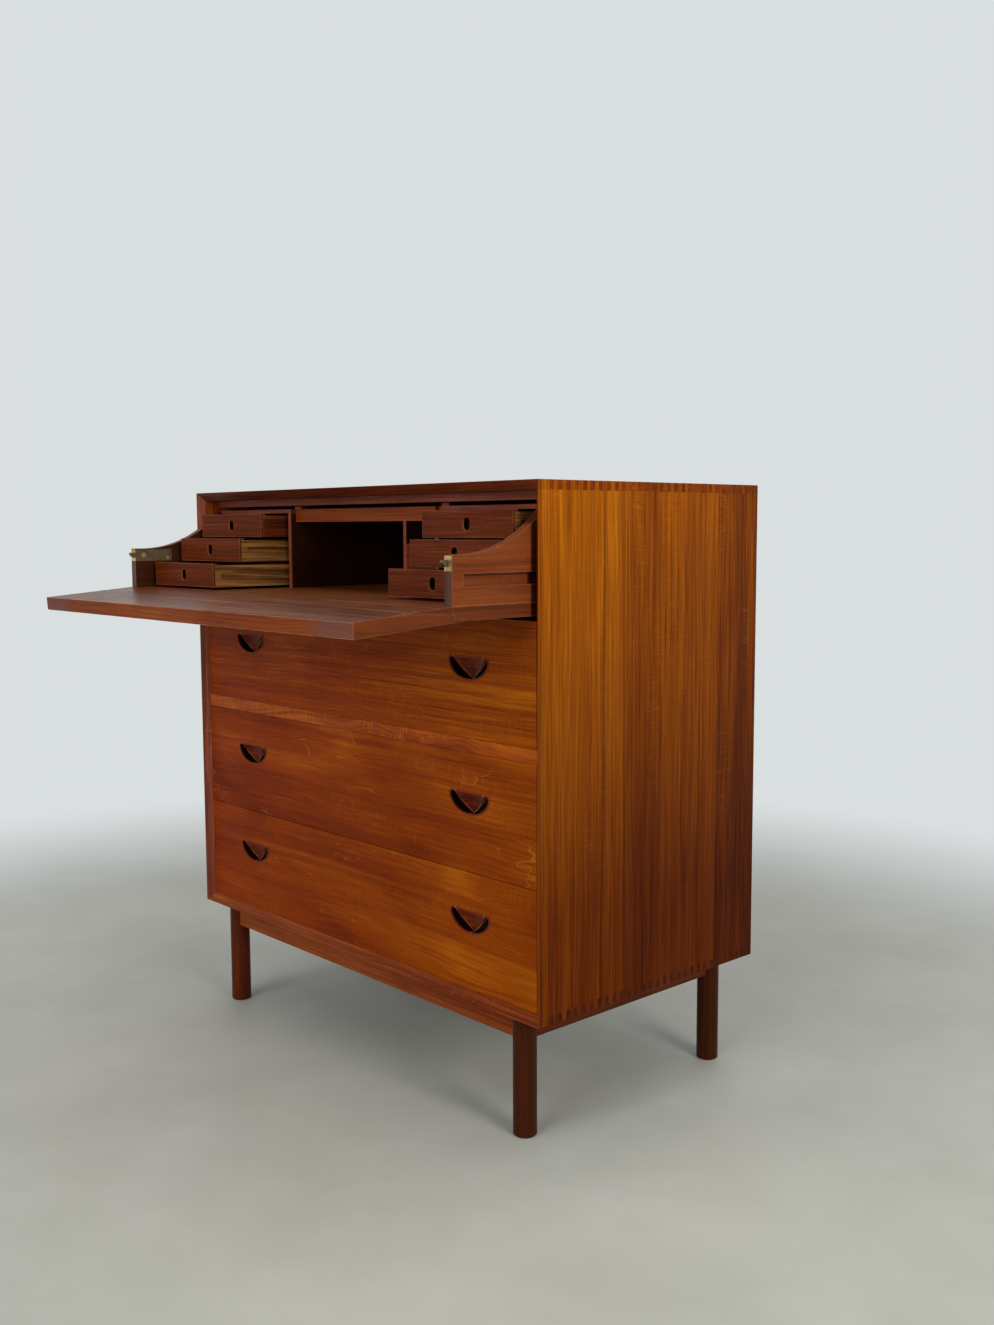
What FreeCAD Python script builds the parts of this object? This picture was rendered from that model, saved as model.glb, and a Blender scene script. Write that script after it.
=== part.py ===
import FreeCAD
import Part
import math
import os
import re

from FreeCAD import Placement, Rotation, Vector

# A teak secretary chest: a comb-jointed case on a low base with round legs, three large
# drawers with half-moon pulls, and a desk drawer on top whose front folds down to write on.
# The part stands on the floor, +Z up. The front faces -Y. The desk drawer is pulled out and
# its flap is down, and the six small drawers stand part way out.

doc = FreeCAD.newDocument("SecretaryChest")

# Driving sizes, in millimetres and degrees
SIZES = [
    # Case
    ("case_width", 920),
    ("case_depth", 494),
    ("case_height", 778),
    ("panel", 14),
    ("front_bevel", 11),
    ("comb_start", 14),
    ("comb_end", 17.5),
    ("comb_count", 28),
    ("rail_height", 21),
    ("rail_depth", 70),
    ("rail_housing", 5),
    ("back_thickness", 6),
    ("back_inset", 2),
    ("back_rebate", 7),
    ("kicker_height", 12.5),
    ("kicker_depth", 60),
    ("kicker_setback", 40),
    # Base
    ("leg_height", 188),
    ("leg_diameter", 36),
    ("leg_chamfer", 2.5),
    ("leg_side_inset", 63.5),
    ("leg_end_inset", 33),
    ("base_rail_height", 39),
    ("base_rail_thickness", 18),
    # Large drawers
    ("side_gap", 1),
    ("row_gap", 1.2),
    ("front_thickness", 18),
    ("drawer_side", 12),
    ("drawer_length", 446),
    ("front_lap", 9),
    ("side_lift", 4),
    ("side_drop", 16),
    ("drawer_back", 12),
    ("drawer_bottom", 5),
    ("bottom_lift", 8),
    ("bottom_groove", 5),
    ("drawer_runner_height", 16),
    ("drawer_runner_reach", 8),
    ("drawer_runner_lift", 80),
    ("runner_play", 0.4),
    ("runner_setback", 42),
    ("runner_length", 420),
    # Half-moon pulls
    ("pull_width", 91),
    ("pull_drop", 36),
    ("pull_corner", 7),
    ("pull_depth", 14),
    ("pull_proud", 0.8),
    ("pull_rim", 2.4),
    ("pull_floor", 2),
    ("pull_spacing", 600),
    ("pull_level", 123),
    ("tongue_width", 66),
    ("tongue_bow", 3.5),
    ("tongue_dip", 7),
    ("tongue_fall", 3.5),
    ("scoop_radius", 65),
    # Desk drawer
    ("desk_pull", 178),
    ("desk_length", 444),
    ("desk_lift", 7.25),
    ("desk_board", 19),
    ("joint_slant", 6),
    ("lip_rebate", 3),
    ("lip_end_gap", 2),
    ("wing_thickness", 15),
    ("wing_front_height", 69),
    ("wing_flat", 20),
    ("cove_radius", 212),
    ("unit_drop", 19),
    ("unit_top", 6.5),
    ("column_setback", 178),
    ("column_half", 205.5),
    ("column_panel", 9),
    ("desk_back", 6),
    ("desk_runner_height", 16),
    ("desk_runner_reach", 8),
    ("desk_runner_lift", 26.5),
    ("desk_runner_length", 390),
    ("desk_groove_setback", 21),
    ("desk_stop_play", 1.5),
    ("rail_setback", 10),
    ("fascia_height", 22),
    ("fascia_thickness", 12),
    ("guide_width", 18),
    ("guide_depth", 12),
    ("guide_setback", 17.5),
    ("guide_play", 1),
    ("notch_inward", 10),
    ("notch_outward", 8.5),
    ("partition_place", 106),
    ("partition_thickness", 7.5),
    ("low_board_height", 79),
    ("low_board_thickness", 6),
    # Fall flap and its hinges
    ("flap_thickness", 21.5),
    ("flap_droop", 4.5),
    ("flap_joint_gap", 0.3),
    ("hinge_depth", 2.1),
    ("hinge_spacing", 300),
    ("arm_thickness", 3),
    ("arm_play", 0.25),
    ("arm_eye_radius", 1.9),
    ("arm_reach", 24),
    ("arm_height", 5),
    ("arm_drop", 4),
    ("pin_radius", 1),
    ("pin_play", 0.05),
    ("pin_length", 22),
    # Flap latches
    ("plate_thickness", 1.5),
    ("plate_length", 72),
    ("plate_height", 20.5),
    ("plate_top_gap", 1.5),
    ("bolt_width", 5),
    ("bolt_height", 9),
    ("bolt_length", 38),
    ("bolt_nose", 9),
    ("bolt_travel", 9),
    ("bolt_play", 0.3),
    ("bolt_end_room", 1),
    ("knob_place", 15),
    ("knob_radius", 4.5),
    ("knob_thickness", 2.5),
    ("neck_radius", 1.8),
    ("screw_place", 64),
    ("screw_drop", 5),
    ("screw_head_radius", 3),
    ("screw_radius", 1.5),
    ("screw_length", 12),
    ("screw_slot", 0.8),
    ("strike_width", 12),
    ("strike_height", 26),
    ("strike_play", 1.2),
    # Small drawers
    ("tray_gap", 12.25),
    ("tray_seam", 2.4),
    ("tray_head_gap", 1.2),
    ("tray_lift", 4.5),
    ("tray_length", 235),
    ("tray_front", 9),
    ("tray_lap", 5),
    ("tray_side", 7),
    ("tray_rim_drop", 3),
    ("tray_bottom", 3.5),
    ("tray_bottom_groove", 3.5),
    ("tray_runner_height", 9.5),
    ("tray_runner_grip", 3.5),
    ("tray_groove_setback", 15),
    ("tray_play", 0.3),
    ("finger_hole_width", 13),
    ("finger_hole_height", 18),
    ("finger_rim", 1.6),
    # How far each small drawer is pulled out of its stack
    ("left_low_out", 145),
    ("left_middle_out", 92),
    ("left_high_out", 48),
    ("right_low_out", 107),
    ("right_middle_out", 66),
    ("right_high_out", 42),
]

# Places worked out from the sizes
PLACES = [
    ("case_half", "case_width / 2"),
    ("inner_half", "case_half - panel"),
    ("case_top", "leg_height + case_height"),
    ("case_floor", "leg_height + panel"),
    ("case_ceiling", "case_top - panel"),
    ("row_height", "(case_height - 2 * panel - rail_height) / 4"),
    ("lower_row", "case_floor"),
    ("middle_row", "case_floor + row_height"),
    ("rail_bottom", "case_floor + 2 * row_height"),
    ("upper_row", "rail_bottom + rail_height"),
    ("desk_row", "upper_row + row_height"),
    ("desk_under", "desk_row + desk_lift"),
    ("desk_top", "desk_under + desk_board"),
    ("axis_level", "desk_top - hinge_depth"),
    ("flap_reach", "case_ceiling - row_gap / 2 - axis_level"),
    ("flap_tail", "axis_level - desk_row - row_gap / 2"),
    # From the case's front to the wings' front, with the desk drawer shut
    ("wing_rest", "front_bevel + flap_thickness + hinge_depth"),
    ("flap_nose", "flap_reach * cos(flap_droop) + hinge_depth * sin(flap_droop)"),
    ("desk_overhang", "desk_pull - wing_rest + 2 * hinge_depth + flap_nose"),
    ("front_y", "0 - (case_depth - desk_overhang) / 2"),
    ("rear_y", "front_y + case_depth"),
    ("face_y", "front_y + front_bevel"),
    ("wing_y", "front_y + wing_rest - desk_pull"),
    ("axis_y", "wing_y - 2 * hinge_depth"),
    ("column_y", "wing_y + column_setback"),
    ("desk_rear_y", "wing_y + desk_length"),
    ("box_half", "inner_half - side_gap"),
    ("wing_inner", "box_half - wing_thickness"),
    ("unit_level", "case_ceiling - unit_drop"),
    ("column_ceiling", "unit_level - unit_top"),
    ("tray_width", "wing_inner - column_half - 2 * tray_gap"),
    ("tray_inner", "column_half + tray_gap"),
    ("tray_floor", "desk_top + tray_lift"),
    ("tray_pitch", "(column_ceiling - tray_head_gap + tray_seam - tray_floor) / 3"),
    ("tray_height", "tray_pitch - tray_seam"),
    ("latch_level", "desk_top + wing_front_height - plate_top_gap - plate_height / 2"),
    ("leg_x", "case_half - leg_side_inset"),
    ("leg_front_y", "front_y + leg_end_inset"),
    ("leg_rear_y", "rear_y - leg_end_inset"),
]

SIZE_NAMES = {name for name, _ in SIZES}
PLACE_NAMES = {name for name, _ in PLACES}


def make_sheet(label, rows):
    """A sheet with a name, a value or formula, and an alias in each row."""
    sheet = doc.addObject("Spreadsheet::Sheet", label)
    for row, (name, content) in enumerate(rows, start=1):
        sheet.set(f"A{row}", name)
        sheet.set(f"B{row}", str(content))
        sheet.setAlias(f"B{row}", name)
    return sheet


def formula(text, own=()):
    """The text with each size and place written as the sheet that holds it knows it."""

    def full_name(match):
        word = match.group()
        if word in SIZE_NAMES:
            return "Sizes." + word
        if word in PLACE_NAMES and word not in own:
            return "Places." + word
        return word

    return re.sub(r"[a-z][a-z_]*", full_name, text)


sizes_sheet = make_sheet("Sizes", SIZES)
doc.recompute()
places_sheet = make_sheet(
    "Places", [(name, "=" + formula(text, PLACE_NAMES)) for name, text in PLACES]
)
doc.recompute()


class Values:
    """The sheets' values as numbers, for the shapes that are worked out here."""

    def __getattr__(self, name):
        sheet = sizes_sheet if name in SIZE_NAMES else places_sheet
        return float(sheet.get(name))


at = Values()
nodes = []


def keep(thing, label):
    """Name a finished sub-part, which then gets a file of its own."""
    thing.Label = label
    nodes.append(thing)
    return thing


def box(name, corner, size):
    """A board from its low corner and its three sizes, each one a formula."""
    board = doc.addObject("Part::Box", name)
    for prop, text in zip(("Length", "Width", "Height"), size):
        board.setExpression(prop, formula(text))
    for axis, text in zip("xyz", corner):
        board.setExpression(f"Placement.Base.{axis}", formula(text))
    return board


def mirrored_box(name, side, corner, size):
    """A board given for the right (+1) half, or its mirror image in the left (-1) half."""
    if side < 0:
        corner = (f"0 - ({corner[0]}) - ({size[0]})",) + corner[1:]
    return box(name, corner, size)


def cylinder(name, centre, radius, height):
    """A cylinder that stands on its centre."""
    rod = doc.addObject("Part::Cylinder", name)
    rod.setExpression("Radius", formula(radius))
    rod.setExpression("Height", formula(height))
    for axis, text in zip("xyz", centre):
        rod.setExpression(f"Placement.Base.{axis}", formula(text))
    return rod


def fuse(name, *parts):
    """One solid from several that touch or overlap."""
    whole = doc.addObject("Part::MultiFuse", name)
    whole.Shapes = list(parts)
    whole.Refine = True
    return whole


def group(name, *parts):
    """Separate solids that share a node."""
    together = doc.addObject("Part::Compound", name)
    together.Links = list(parts)
    return together


def cut(name, base, *tools):
    """The base without what the tools take up."""
    result = doc.addObject("Part::Cut", name)
    result.Base = base
    result.Tool = tools[0] if len(tools) == 1 else group(name + "_tools", *tools)
    return result


def feature(name, shape):
    """A document object for a shape that was worked out here."""
    made = doc.addObject("Part::Feature", name)
    made.Shape = shape
    return made


CUT_OVER = 20  # how far a cutting tool runs past the piece that it cuts


def prism_x(outline, low_x, high_x):
    """A solid along X whose section is the outline's (y, z) points, joined in turn."""
    points = [Vector(low_x, y, z) for y, z in outline]
    face = Part.Face(Part.makePolygon(points + points[:1]))
    return face.extrude(Vector(high_x - low_x, 0, 0))


def solid_box(low, high):
    """A box between two corners."""
    low, high = Vector(*low), Vector(*high)
    return Part.makeBox(*(high - low), low)


# Comb joint at a corner of the case

def corner_sockets():
    """What the top's fingers and the front mitre take out of the right side's upper end."""
    pitch = (at.case_depth - at.comb_start - at.comb_end) / at.comb_count
    mitre = [(at.inner_half, at.case_ceiling), (at.case_half, at.case_top),
             (at.inner_half, at.case_top)]
    points = [Vector(x, at.front_y, z) for x, z in mitre]
    face = Part.Face(Part.makePolygon(points + points[:1]))
    pieces = [face.extrude(Vector(0, at.comb_start, 0))]
    for count in range(int(at.comb_count)):
        start = at.front_y + at.comb_start + (count + 0.5) * pitch
        pieces.append(solid_box((at.inner_half, start, at.case_ceiling),
                                (at.case_half, start + pitch / 2, at.case_top)))
    return Part.makeCompound(pieces)


def make_case():
    """The four comb-jointed panels, the back, and the rails and runners inside."""
    upper_right = corner_sockets()
    middle = Vector(0, 0, (at.leg_height + at.case_top) / 2)
    lower_right = upper_right.mirror(middle, Vector(0, 0, 1))

    # The front edges slope in from the outer arris to the drawer fronts
    splay = doc.addObject("Part::Wedge", "front_splay")
    limits = {
        "Xmin": "0 - case_half", "Xmax": "case_half",
        "Ymin": "front_y", "Ymax": "face_y",
        "Zmin": "leg_height", "Zmax": "case_top",
        "X2min": "0 - inner_half", "X2max": "inner_half",
        "Z2min": "case_floor", "Z2max": "case_ceiling",
    }
    for prop, text in limits.items():
        splay.setExpression(prop, formula(text))

    rebate = box(
        "back_rebate",
        ("0 - inner_half - back_rebate", "rear_y - back_inset - back_thickness",
         "case_floor - back_rebate"),
        ("2 * (inner_half + back_rebate)", "back_thickness + back_inset",
         "case_height - 2 * panel + 2 * back_rebate"),
    )
    rail = box(
        "rail_blank",
        ("0 - inner_half - rail_housing", "face_y", "rail_bottom"),
        ("2 * (inner_half + rail_housing)", "rail_depth", "rail_height"),
    )

    sides = []
    for side, word in ((-1, "left"), (1, "right")):
        blank = mirrored_box(
            f"side_blank_{word}", side,
            ("inner_half", "front_y", "leg_height"),
            ("panel", "case_depth", "case_height"),
        )
        sockets = [upper_right, lower_right]
        if side < 0:
            sockets = [s.mirror(Vector(), Vector(1, 0, 0)) for s in sockets]
        comb = feature(f"comb_{word}", Part.makeCompound(sockets))
        made = cut(f"side_panel_{word}", blank, comb, splay, rebate, rail)
        sides.append(keep(made, f"side_panel_{word}"))

    for word, level in (("top", "case_ceiling"), ("bottom", "leg_height")):
        blank = box(
            f"{word}_blank",
            ("0 - case_half", "front_y", level),
            ("case_width", "case_depth", "panel"),
        )
        keep(cut(f"{word}_panel", blank, splay, rebate, *sides), f"{word}_panel")

    keep(box(
        "back_panel",
        ("0 - inner_half - back_rebate", "rear_y - back_inset - back_thickness",
         "case_floor - back_rebate"),
        ("2 * (inner_half + back_rebate)", "back_thickness",
         "case_height - 2 * panel + 2 * back_rebate"),
    ), "back_panel")
    keep(rail, "middle_rail")
    keep(box(
        "desk_kicker",
        ("0 - inner_half", "front_y + kicker_setback", "case_ceiling - kicker_height"),
        ("2 * inner_half", "kicker_depth", "kicker_height"),
    ), "desk_kicker")

    strips = []
    for side, word in ((-1, "left"), (1, "right")):
        for row in ("lower", "middle", "upper"):
            strips.append(mirrored_box(
                f"drawer_runner_{row}_{word}", side,
                ("inner_half - drawer_runner_reach", "front_y + runner_setback",
                 f"{row}_row + drawer_runner_lift"),
                ("drawer_runner_reach", "runner_length", "drawer_runner_height"),
            ))
    keep(group("drawer_runners", *strips), "drawer_runners")

    desk_strips = [mirrored_box(
        f"desk_runner_{word}", side,
        ("inner_half - desk_runner_reach",
         "front_y + wing_rest + desk_groove_setback + desk_stop_play",
         "desk_top + desk_runner_lift"),
        ("desk_runner_reach", "desk_runner_length", "desk_runner_height"),
    ) for side, word in ((-1, "left"), (1, "right"))]
    keep(group("desk_runners", *desk_strips), "desk_runners")


def make_base():
    """Four round legs, with rails between them that are coped to the legs."""
    legs = {}
    for word, x in (("left", "0 - leg_x"), ("right", "leg_x")):
        for end, y in (("front", "leg_front_y"), ("rear", "leg_rear_y")):
            name = f"leg_{end}_{word}"
            post = cylinder(f"{name}_post", (x, y, "leg_chamfer"),
                            "leg_diameter / 2", "leg_height - leg_chamfer")
            foot = doc.addObject("Part::Cone", f"{name}_foot")
            foot.setExpression("Radius1", formula("leg_diameter / 2 - leg_chamfer"))
            foot.setExpression("Radius2", formula("leg_diameter / 2"))
            foot.setExpression("Height", formula("leg_chamfer"))
            foot.setExpression("Placement.Base.x", formula(x))
            foot.setExpression("Placement.Base.y", formula(y))
            legs[end, word] = keep(fuse(name, post, foot), name)

    level = "leg_height - base_rail_height"
    long_rails = []
    for end, y in (("front", "leg_front_y"), ("rear", "leg_rear_y")):
        blank = box(
            f"base_rail_{end}_blank",
            ("0 - leg_x", f"{y} - base_rail_thickness / 2", level),
            ("2 * leg_x", "base_rail_thickness", "base_rail_height"),
        )
        ends = [legs[end, "left"], legs[end, "right"]]
        long_rails.append(cut(f"base_rail_{end}", blank, *ends))
    keep(group("base_rails_long", *long_rails), "base_rails_long")

    short_rails = []
    for word, x in (("left", "0 - leg_x"), ("right", "leg_x")):
        blank = box(
            f"base_rail_{word}_blank",
            (f"{x} - base_rail_thickness / 2", "leg_front_y", level),
            ("base_rail_thickness", "leg_rear_y - leg_front_y", "base_rail_height"),
        )
        ends = [legs["front", word], legs["rear", word]]
        short_rails.append(cut(f"base_rail_{word}", blank, *ends))
    keep(group("base_rails_short", *short_rails), "base_rails_short")


# Half-moon pull: X across, Z up from the flat top edge, front face at y = 0

def half_moon(margin):
    """The pull's outline, drawn in by a margin: flat on top, round below."""
    half = at.pull_width / 2 - margin
    corner = at.pull_corner - margin
    top = -margin
    drop = at.pull_drop - margin
    shoulder = top - corner
    turn = corner * (1 - math.sqrt(0.5))
    lines = [
        Part.LineSegment(Vector(-half + corner, 0, top), Vector(half - corner, 0, top)),
        Part.Arc(Vector(half - corner, 0, top), Vector(half - turn, 0, top - turn),
                 Vector(half, 0, shoulder)),
        Part.Arc(Vector(-half, 0, shoulder), Vector(-half + turn, 0, top - turn),
                 Vector(-half + corner, 0, top)),
    ]
    bowl = Part.Ellipse(Vector(half, 0, shoulder), Vector(0, 0, -drop), Vector(0, 0, shoulder))
    edges = [line.toShape() for line in lines]
    edges.insert(2, bowl.toShape(0, math.pi))
    return Part.Wire(edges)


def pull_tongue():
    """The carved tongue that hangs between the two finger pockets."""
    half = at.tongue_width / 2
    tip = Vector(0, 0, -at.pull_drop + at.pull_rim)
    edges = [Part.LineSegment(Vector(-half, 0, 0), Vector(half, 0, 0)).toShape()]
    for side in (1, -1):
        top = Vector(side * half, 0, 0)
        outward = Vector(side * -tip.z, 0, -half).normalize()
        middle = (top + tip) * 0.5 + outward * at.tongue_bow
        start, end = (top, tip) if side > 0 else (tip, top)
        edges.append(Part.Arc(start, middle, end).toShape())
    shield = Part.Face(Part.Wire(edges)).extrude(Vector(0, at.pull_depth, 0))
    slope = math.degrees(math.atan2(at.tongue_fall, at.pull_drop))
    length = 2 * at.pull_drop
    scoop = Part.makeCylinder(at.scoop_radius, length)
    scoop.translate(Vector(0, at.tongue_dip - at.scoop_radius, -length / 2))
    scoop.rotate(Vector(0, at.tongue_dip, 0), Vector(1, 0, 0), slope)
    return shield.cut(scoop)


def pull_shape():
    """A solid half-moon block, hollowed on each side of its tongue."""
    block = Part.Face(half_moon(0)).extrude(Vector(0, at.pull_depth, 0))
    block.translate(Vector(0, -at.pull_proud, 0))
    hollow_depth = at.pull_depth - at.pull_floor
    hollow = Part.Face(half_moon(at.pull_rim)).extrude(Vector(0, hollow_depth, 0))
    hollow.translate(Vector(0, -at.pull_proud, 0))
    inside = pull_tongue().common(Part.Face(half_moon(0)).extrude(Vector(0, at.pull_depth, 0)))
    inside.translate(Vector(0, -at.pull_proud, 0))
    return block.cut(hollow.cut(inside)).removeSplitter()


def make_drawer(word, row):
    """One large drawer, shut: front with two pulls, grooved sides, back and bottom."""
    name = f"drawer_{word}"
    low = f"{row} + row_gap / 2"
    shape = pull_shape()
    pulls = []
    recesses = []
    recess_shape = Part.Face(half_moon(0)).extrude(
        Vector(0, at.pull_depth - at.pull_proud, 0))
    for side, hand in ((-1, "left"), (1, "right")):
        place = Vector(side * at.pull_spacing / 2, at.face_y,
                       float(places_sheet.get(row)) + at.pull_level)
        pull = feature(f"{name}_pull_{hand}", shape)
        pull.Placement = Placement(place, Rotation())
        pulls.append(pull)
        recess = feature(f"{name}_recess_{hand}", recess_shape)
        recess.Placement = Placement(place, Rotation())
        recesses.append(recess)

    bottom = keep(box(
        f"{name}_bottom",
        ("0 - box_half + drawer_side - bottom_groove",
         "face_y + front_thickness - bottom_groove", f"{row} + side_lift + bottom_lift"),
        ("2 * (box_half - drawer_side + bottom_groove)",
         "drawer_length + bottom_groove", "drawer_bottom"),
    ), f"{name}_bottom")

    sides = []
    for side, hand in ((-1, "left"), (1, "right")):
        blank = mirrored_box(
            f"{name}_side_blank_{hand}", side,
            ("box_half - drawer_side", "face_y + front_thickness - front_lap",
             f"{row} + side_lift"),
            ("drawer_side", "drawer_length + front_lap", "row_height - side_drop"),
        )
        groove = mirrored_box(
            f"{name}_groove_{hand}", side,
            ("inner_half - drawer_runner_reach - runner_play",
             "front_y + runner_setback - runner_play",
             f"{row} + drawer_runner_lift - runner_play"),
            ("drawer_runner_reach + runner_play + panel", "drawer_length + panel",
             "drawer_runner_height + 2 * runner_play"),
        )
        sides.append(cut(f"{name}_side_{hand}", blank, groove, bottom))
    back = box(
        f"{name}_back",
        ("0 - box_half + drawer_side",
         "face_y + front_thickness + drawer_length - drawer_back",
         f"{row} + side_lift + bottom_lift + drawer_bottom"),
        ("2 * (box_half - drawer_side)", "drawer_back",
         "row_height - side_drop - bottom_lift - drawer_bottom"),
    )
    keep(group(f"{name}_box", *sides, back), f"{name}_box")

    blank = box(
        f"{name}_front_blank",
        ("0 - box_half", "face_y", low),
        ("2 * box_half", "front_thickness", "row_height - row_gap"),
    )
    keep(cut(f"{name}_front", blank, *recesses, *sides, bottom), f"{name}_front")
    keep(group(f"{name}_pulls", *pulls), f"{name}_pulls")


# Desk drawer

def make_desk_board():
    """The writing board: its front slopes back, and its underside is rebated for the lip."""
    lip_level = at.desk_under + at.lip_rebate
    rebate_end = at.axis_y + at.flap_tail + at.lip_end_gap
    outline = [
        (at.wing_y, at.desk_top),
        (at.wing_y + at.joint_slant, lip_level),
        (rebate_end, lip_level),
        (rebate_end, at.desk_under),
        (at.desk_rear_y, at.desk_under),
        (at.desk_rear_y, at.desk_top),
    ]
    blank = feature("desk_board_blank", prism_x(outline, -at.box_half, at.box_half))
    mortises = [box(
        f"hinge_mortise_{number}",
        (f"{number} * hinge_spacing - arm_thickness / 2", "wing_y",
         "desk_top - arm_drop - arm_height"),
        ("arm_thickness", "arm_reach", "arm_height"),
    ) for number in (-1, 0, 1)]
    keep(cut("desk_board", blank, *mortises), "desk_board")


def wing_outline():
    """The wing's side view: low in front, with a cove that rises to the small drawers' top."""
    low = at.desk_top + at.wing_front_height
    rise = at.unit_level - low
    run = math.sqrt(at.cove_radius**2 - (at.cove_radius - rise) ** 2)
    half_rise = at.cove_radius - math.sqrt(at.cove_radius**2 - (run / 2) ** 2)
    flat_end = at.wing_y + at.wing_flat
    corners = [
        Vector(0, at.desk_rear_y, at.unit_level),
        Vector(0, at.desk_rear_y, at.desk_top),
        Vector(0, at.wing_y, at.desk_top),
        Vector(0, at.wing_y, low),
        Vector(0, flat_end, low),
    ]
    edges = [Part.LineSegment(a, b).toShape() for a, b in zip(corners, corners[1:])]
    cove_top = Vector(0, flat_end + run, at.unit_level)
    edges.append(Part.Arc(corners[-1], Vector(0, flat_end + run / 2, low + half_rise),
                          cove_top).toShape())
    edges.append(Part.LineSegment(cove_top, corners[0]).toShape())
    return Part.Wire(edges)


def latch_screw(side):
    """A countersunk screw, flush with the latch's side leaf, as a solid with no slot yet."""
    start = Vector(side * at.wing_inner, at.wing_y + at.screw_place,
                   at.latch_level - at.screw_drop)
    outward = Vector(side, 0, 0)
    head = Part.makeCone(at.screw_head_radius, at.screw_radius, at.plate_thickness,
                         start, outward)
    shank = Part.makeCylinder(at.screw_radius, at.screw_length, start, outward)
    return head.fuse(shank).removeSplitter()


def make_wings():
    """The desk drawer's sides, with the latches' brass plates let into their front ends."""
    blank_shape = Part.Face(wing_outline()).extrude(Vector(at.wing_thickness, 0, 0))
    plates = []
    screws = []
    for side, word in ((-1, "left"), (1, "right")):
        blank = feature(f"wing_blank_{word}", blank_shape)
        low_x = at.wing_inner if side > 0 else -at.box_half
        blank.Placement = Placement(Vector(low_x, 0, 0), Rotation())
        groove = mirrored_box(
            f"wing_groove_{word}", side,
            ("inner_half - desk_runner_reach - runner_play", "wing_y + desk_groove_setback",
             "desk_top + desk_runner_lift - runner_play"),
            ("desk_runner_reach + runner_play + panel", "desk_length",
             "desk_runner_height + 2 * runner_play"),
        )
        low_z = "latch_level - plate_height / 2"
        face = mirrored_box(
            f"latch_face_{word}", side, ("wing_inner", "wing_y", low_z),
            ("wing_thickness", "plate_thickness", "plate_height"))
        leaf = mirrored_box(
            f"latch_leaf_{word}", side, ("wing_inner", "wing_y", low_z),
            ("plate_thickness", "plate_length", "plate_height"))
        angle = fuse(f"latch_angle_{word}", face, leaf)
        bolt_room = mirrored_box(
            f"bolt_room_{word}", side,
            ("wing_inner + plate_thickness", "wing_y",
             "latch_level - bolt_height / 2 - bolt_play"),
            ("bolt_width + 2 * bolt_play", "bolt_length + bolt_travel + bolt_end_room",
             "bolt_height + 2 * bolt_play"))
        knob_slot = mirrored_box(
            f"knob_slot_{word}", side,
            ("wing_inner", "wing_y + knob_place - neck_radius - bolt_play",
             "latch_level - neck_radius - bolt_play"),
            ("plate_thickness", "bolt_travel + 2 * (neck_radius + bolt_play)",
             "2 * (neck_radius + bolt_play)"))
        screw = feature(f"latch_screw_blank_{word}", latch_screw(side))
        plates.append(cut(f"latch_plate_{word}", angle, bolt_room, knob_slot, screw))
        keep(cut(f"wing_{word}", blank, groove, angle, bolt_room, screw), f"wing_{word}")
        slot = mirrored_box(
            f"screw_slot_{word}", side,
            ("wing_inner", "wing_y + screw_place - screw_head_radius",
             "latch_level - screw_drop - screw_slot / 2"),
            ("screw_slot", "2 * screw_head_radius", "screw_slot"))
        screws.append(cut(f"latch_screw_{word}", screw, slot))
    keep(group("latch_plates", *plates), "latch_plates")
    keep(group("latch_screws", *screws), "latch_screws")


def make_bolts():
    """A sprung bolt in each wing, with a knob to draw it back by."""
    for side, word in ((-1, "left"), (1, "right")):
        bar = mirrored_box(
            f"bolt_bar_{word}", side,
            ("wing_inner + plate_thickness + bolt_play", "wing_y - bolt_nose",
             "latch_level - bolt_height / 2"),
            ("bolt_width", "bolt_nose + bolt_length", "bolt_height"))
        nose_tip = at.wing_y - at.bolt_nose
        low = at.latch_level - at.bolt_height / 2
        bevel = feature(f"bolt_bevel_{word}", prism_x(
            [(nose_tip, low), (nose_tip + at.bolt_nose * 0.6, low),
             (nose_tip, low + at.bolt_height * 0.6)], -at.case_half, at.case_half))
        knob_x = at.wing_inner - at.bolt_play
        neck_x = at.wing_inner + at.plate_thickness + at.bolt_play + at.bolt_width / 2
        knob_y = at.wing_y + at.knob_place
        centre = Vector(side * neck_x, knob_y, at.latch_level)
        inward = Vector(-side, 0, 0)
        neck = feature(f"bolt_neck_{word}", Part.makeCylinder(
            at.neck_radius, neck_x - knob_x, centre, inward))
        knob_at = Vector(side * knob_x, knob_y, at.latch_level)
        knob = feature(f"bolt_knob_{word}", Part.makeCylinder(
            at.knob_radius, at.knob_thickness, knob_at, inward))
        whole = fuse(f"latch_bolt_{word}_whole", bar, neck, knob)
        keep(cut(f"latch_bolt_{word}", whole, bevel), f"latch_bolt_{word}")


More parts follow.
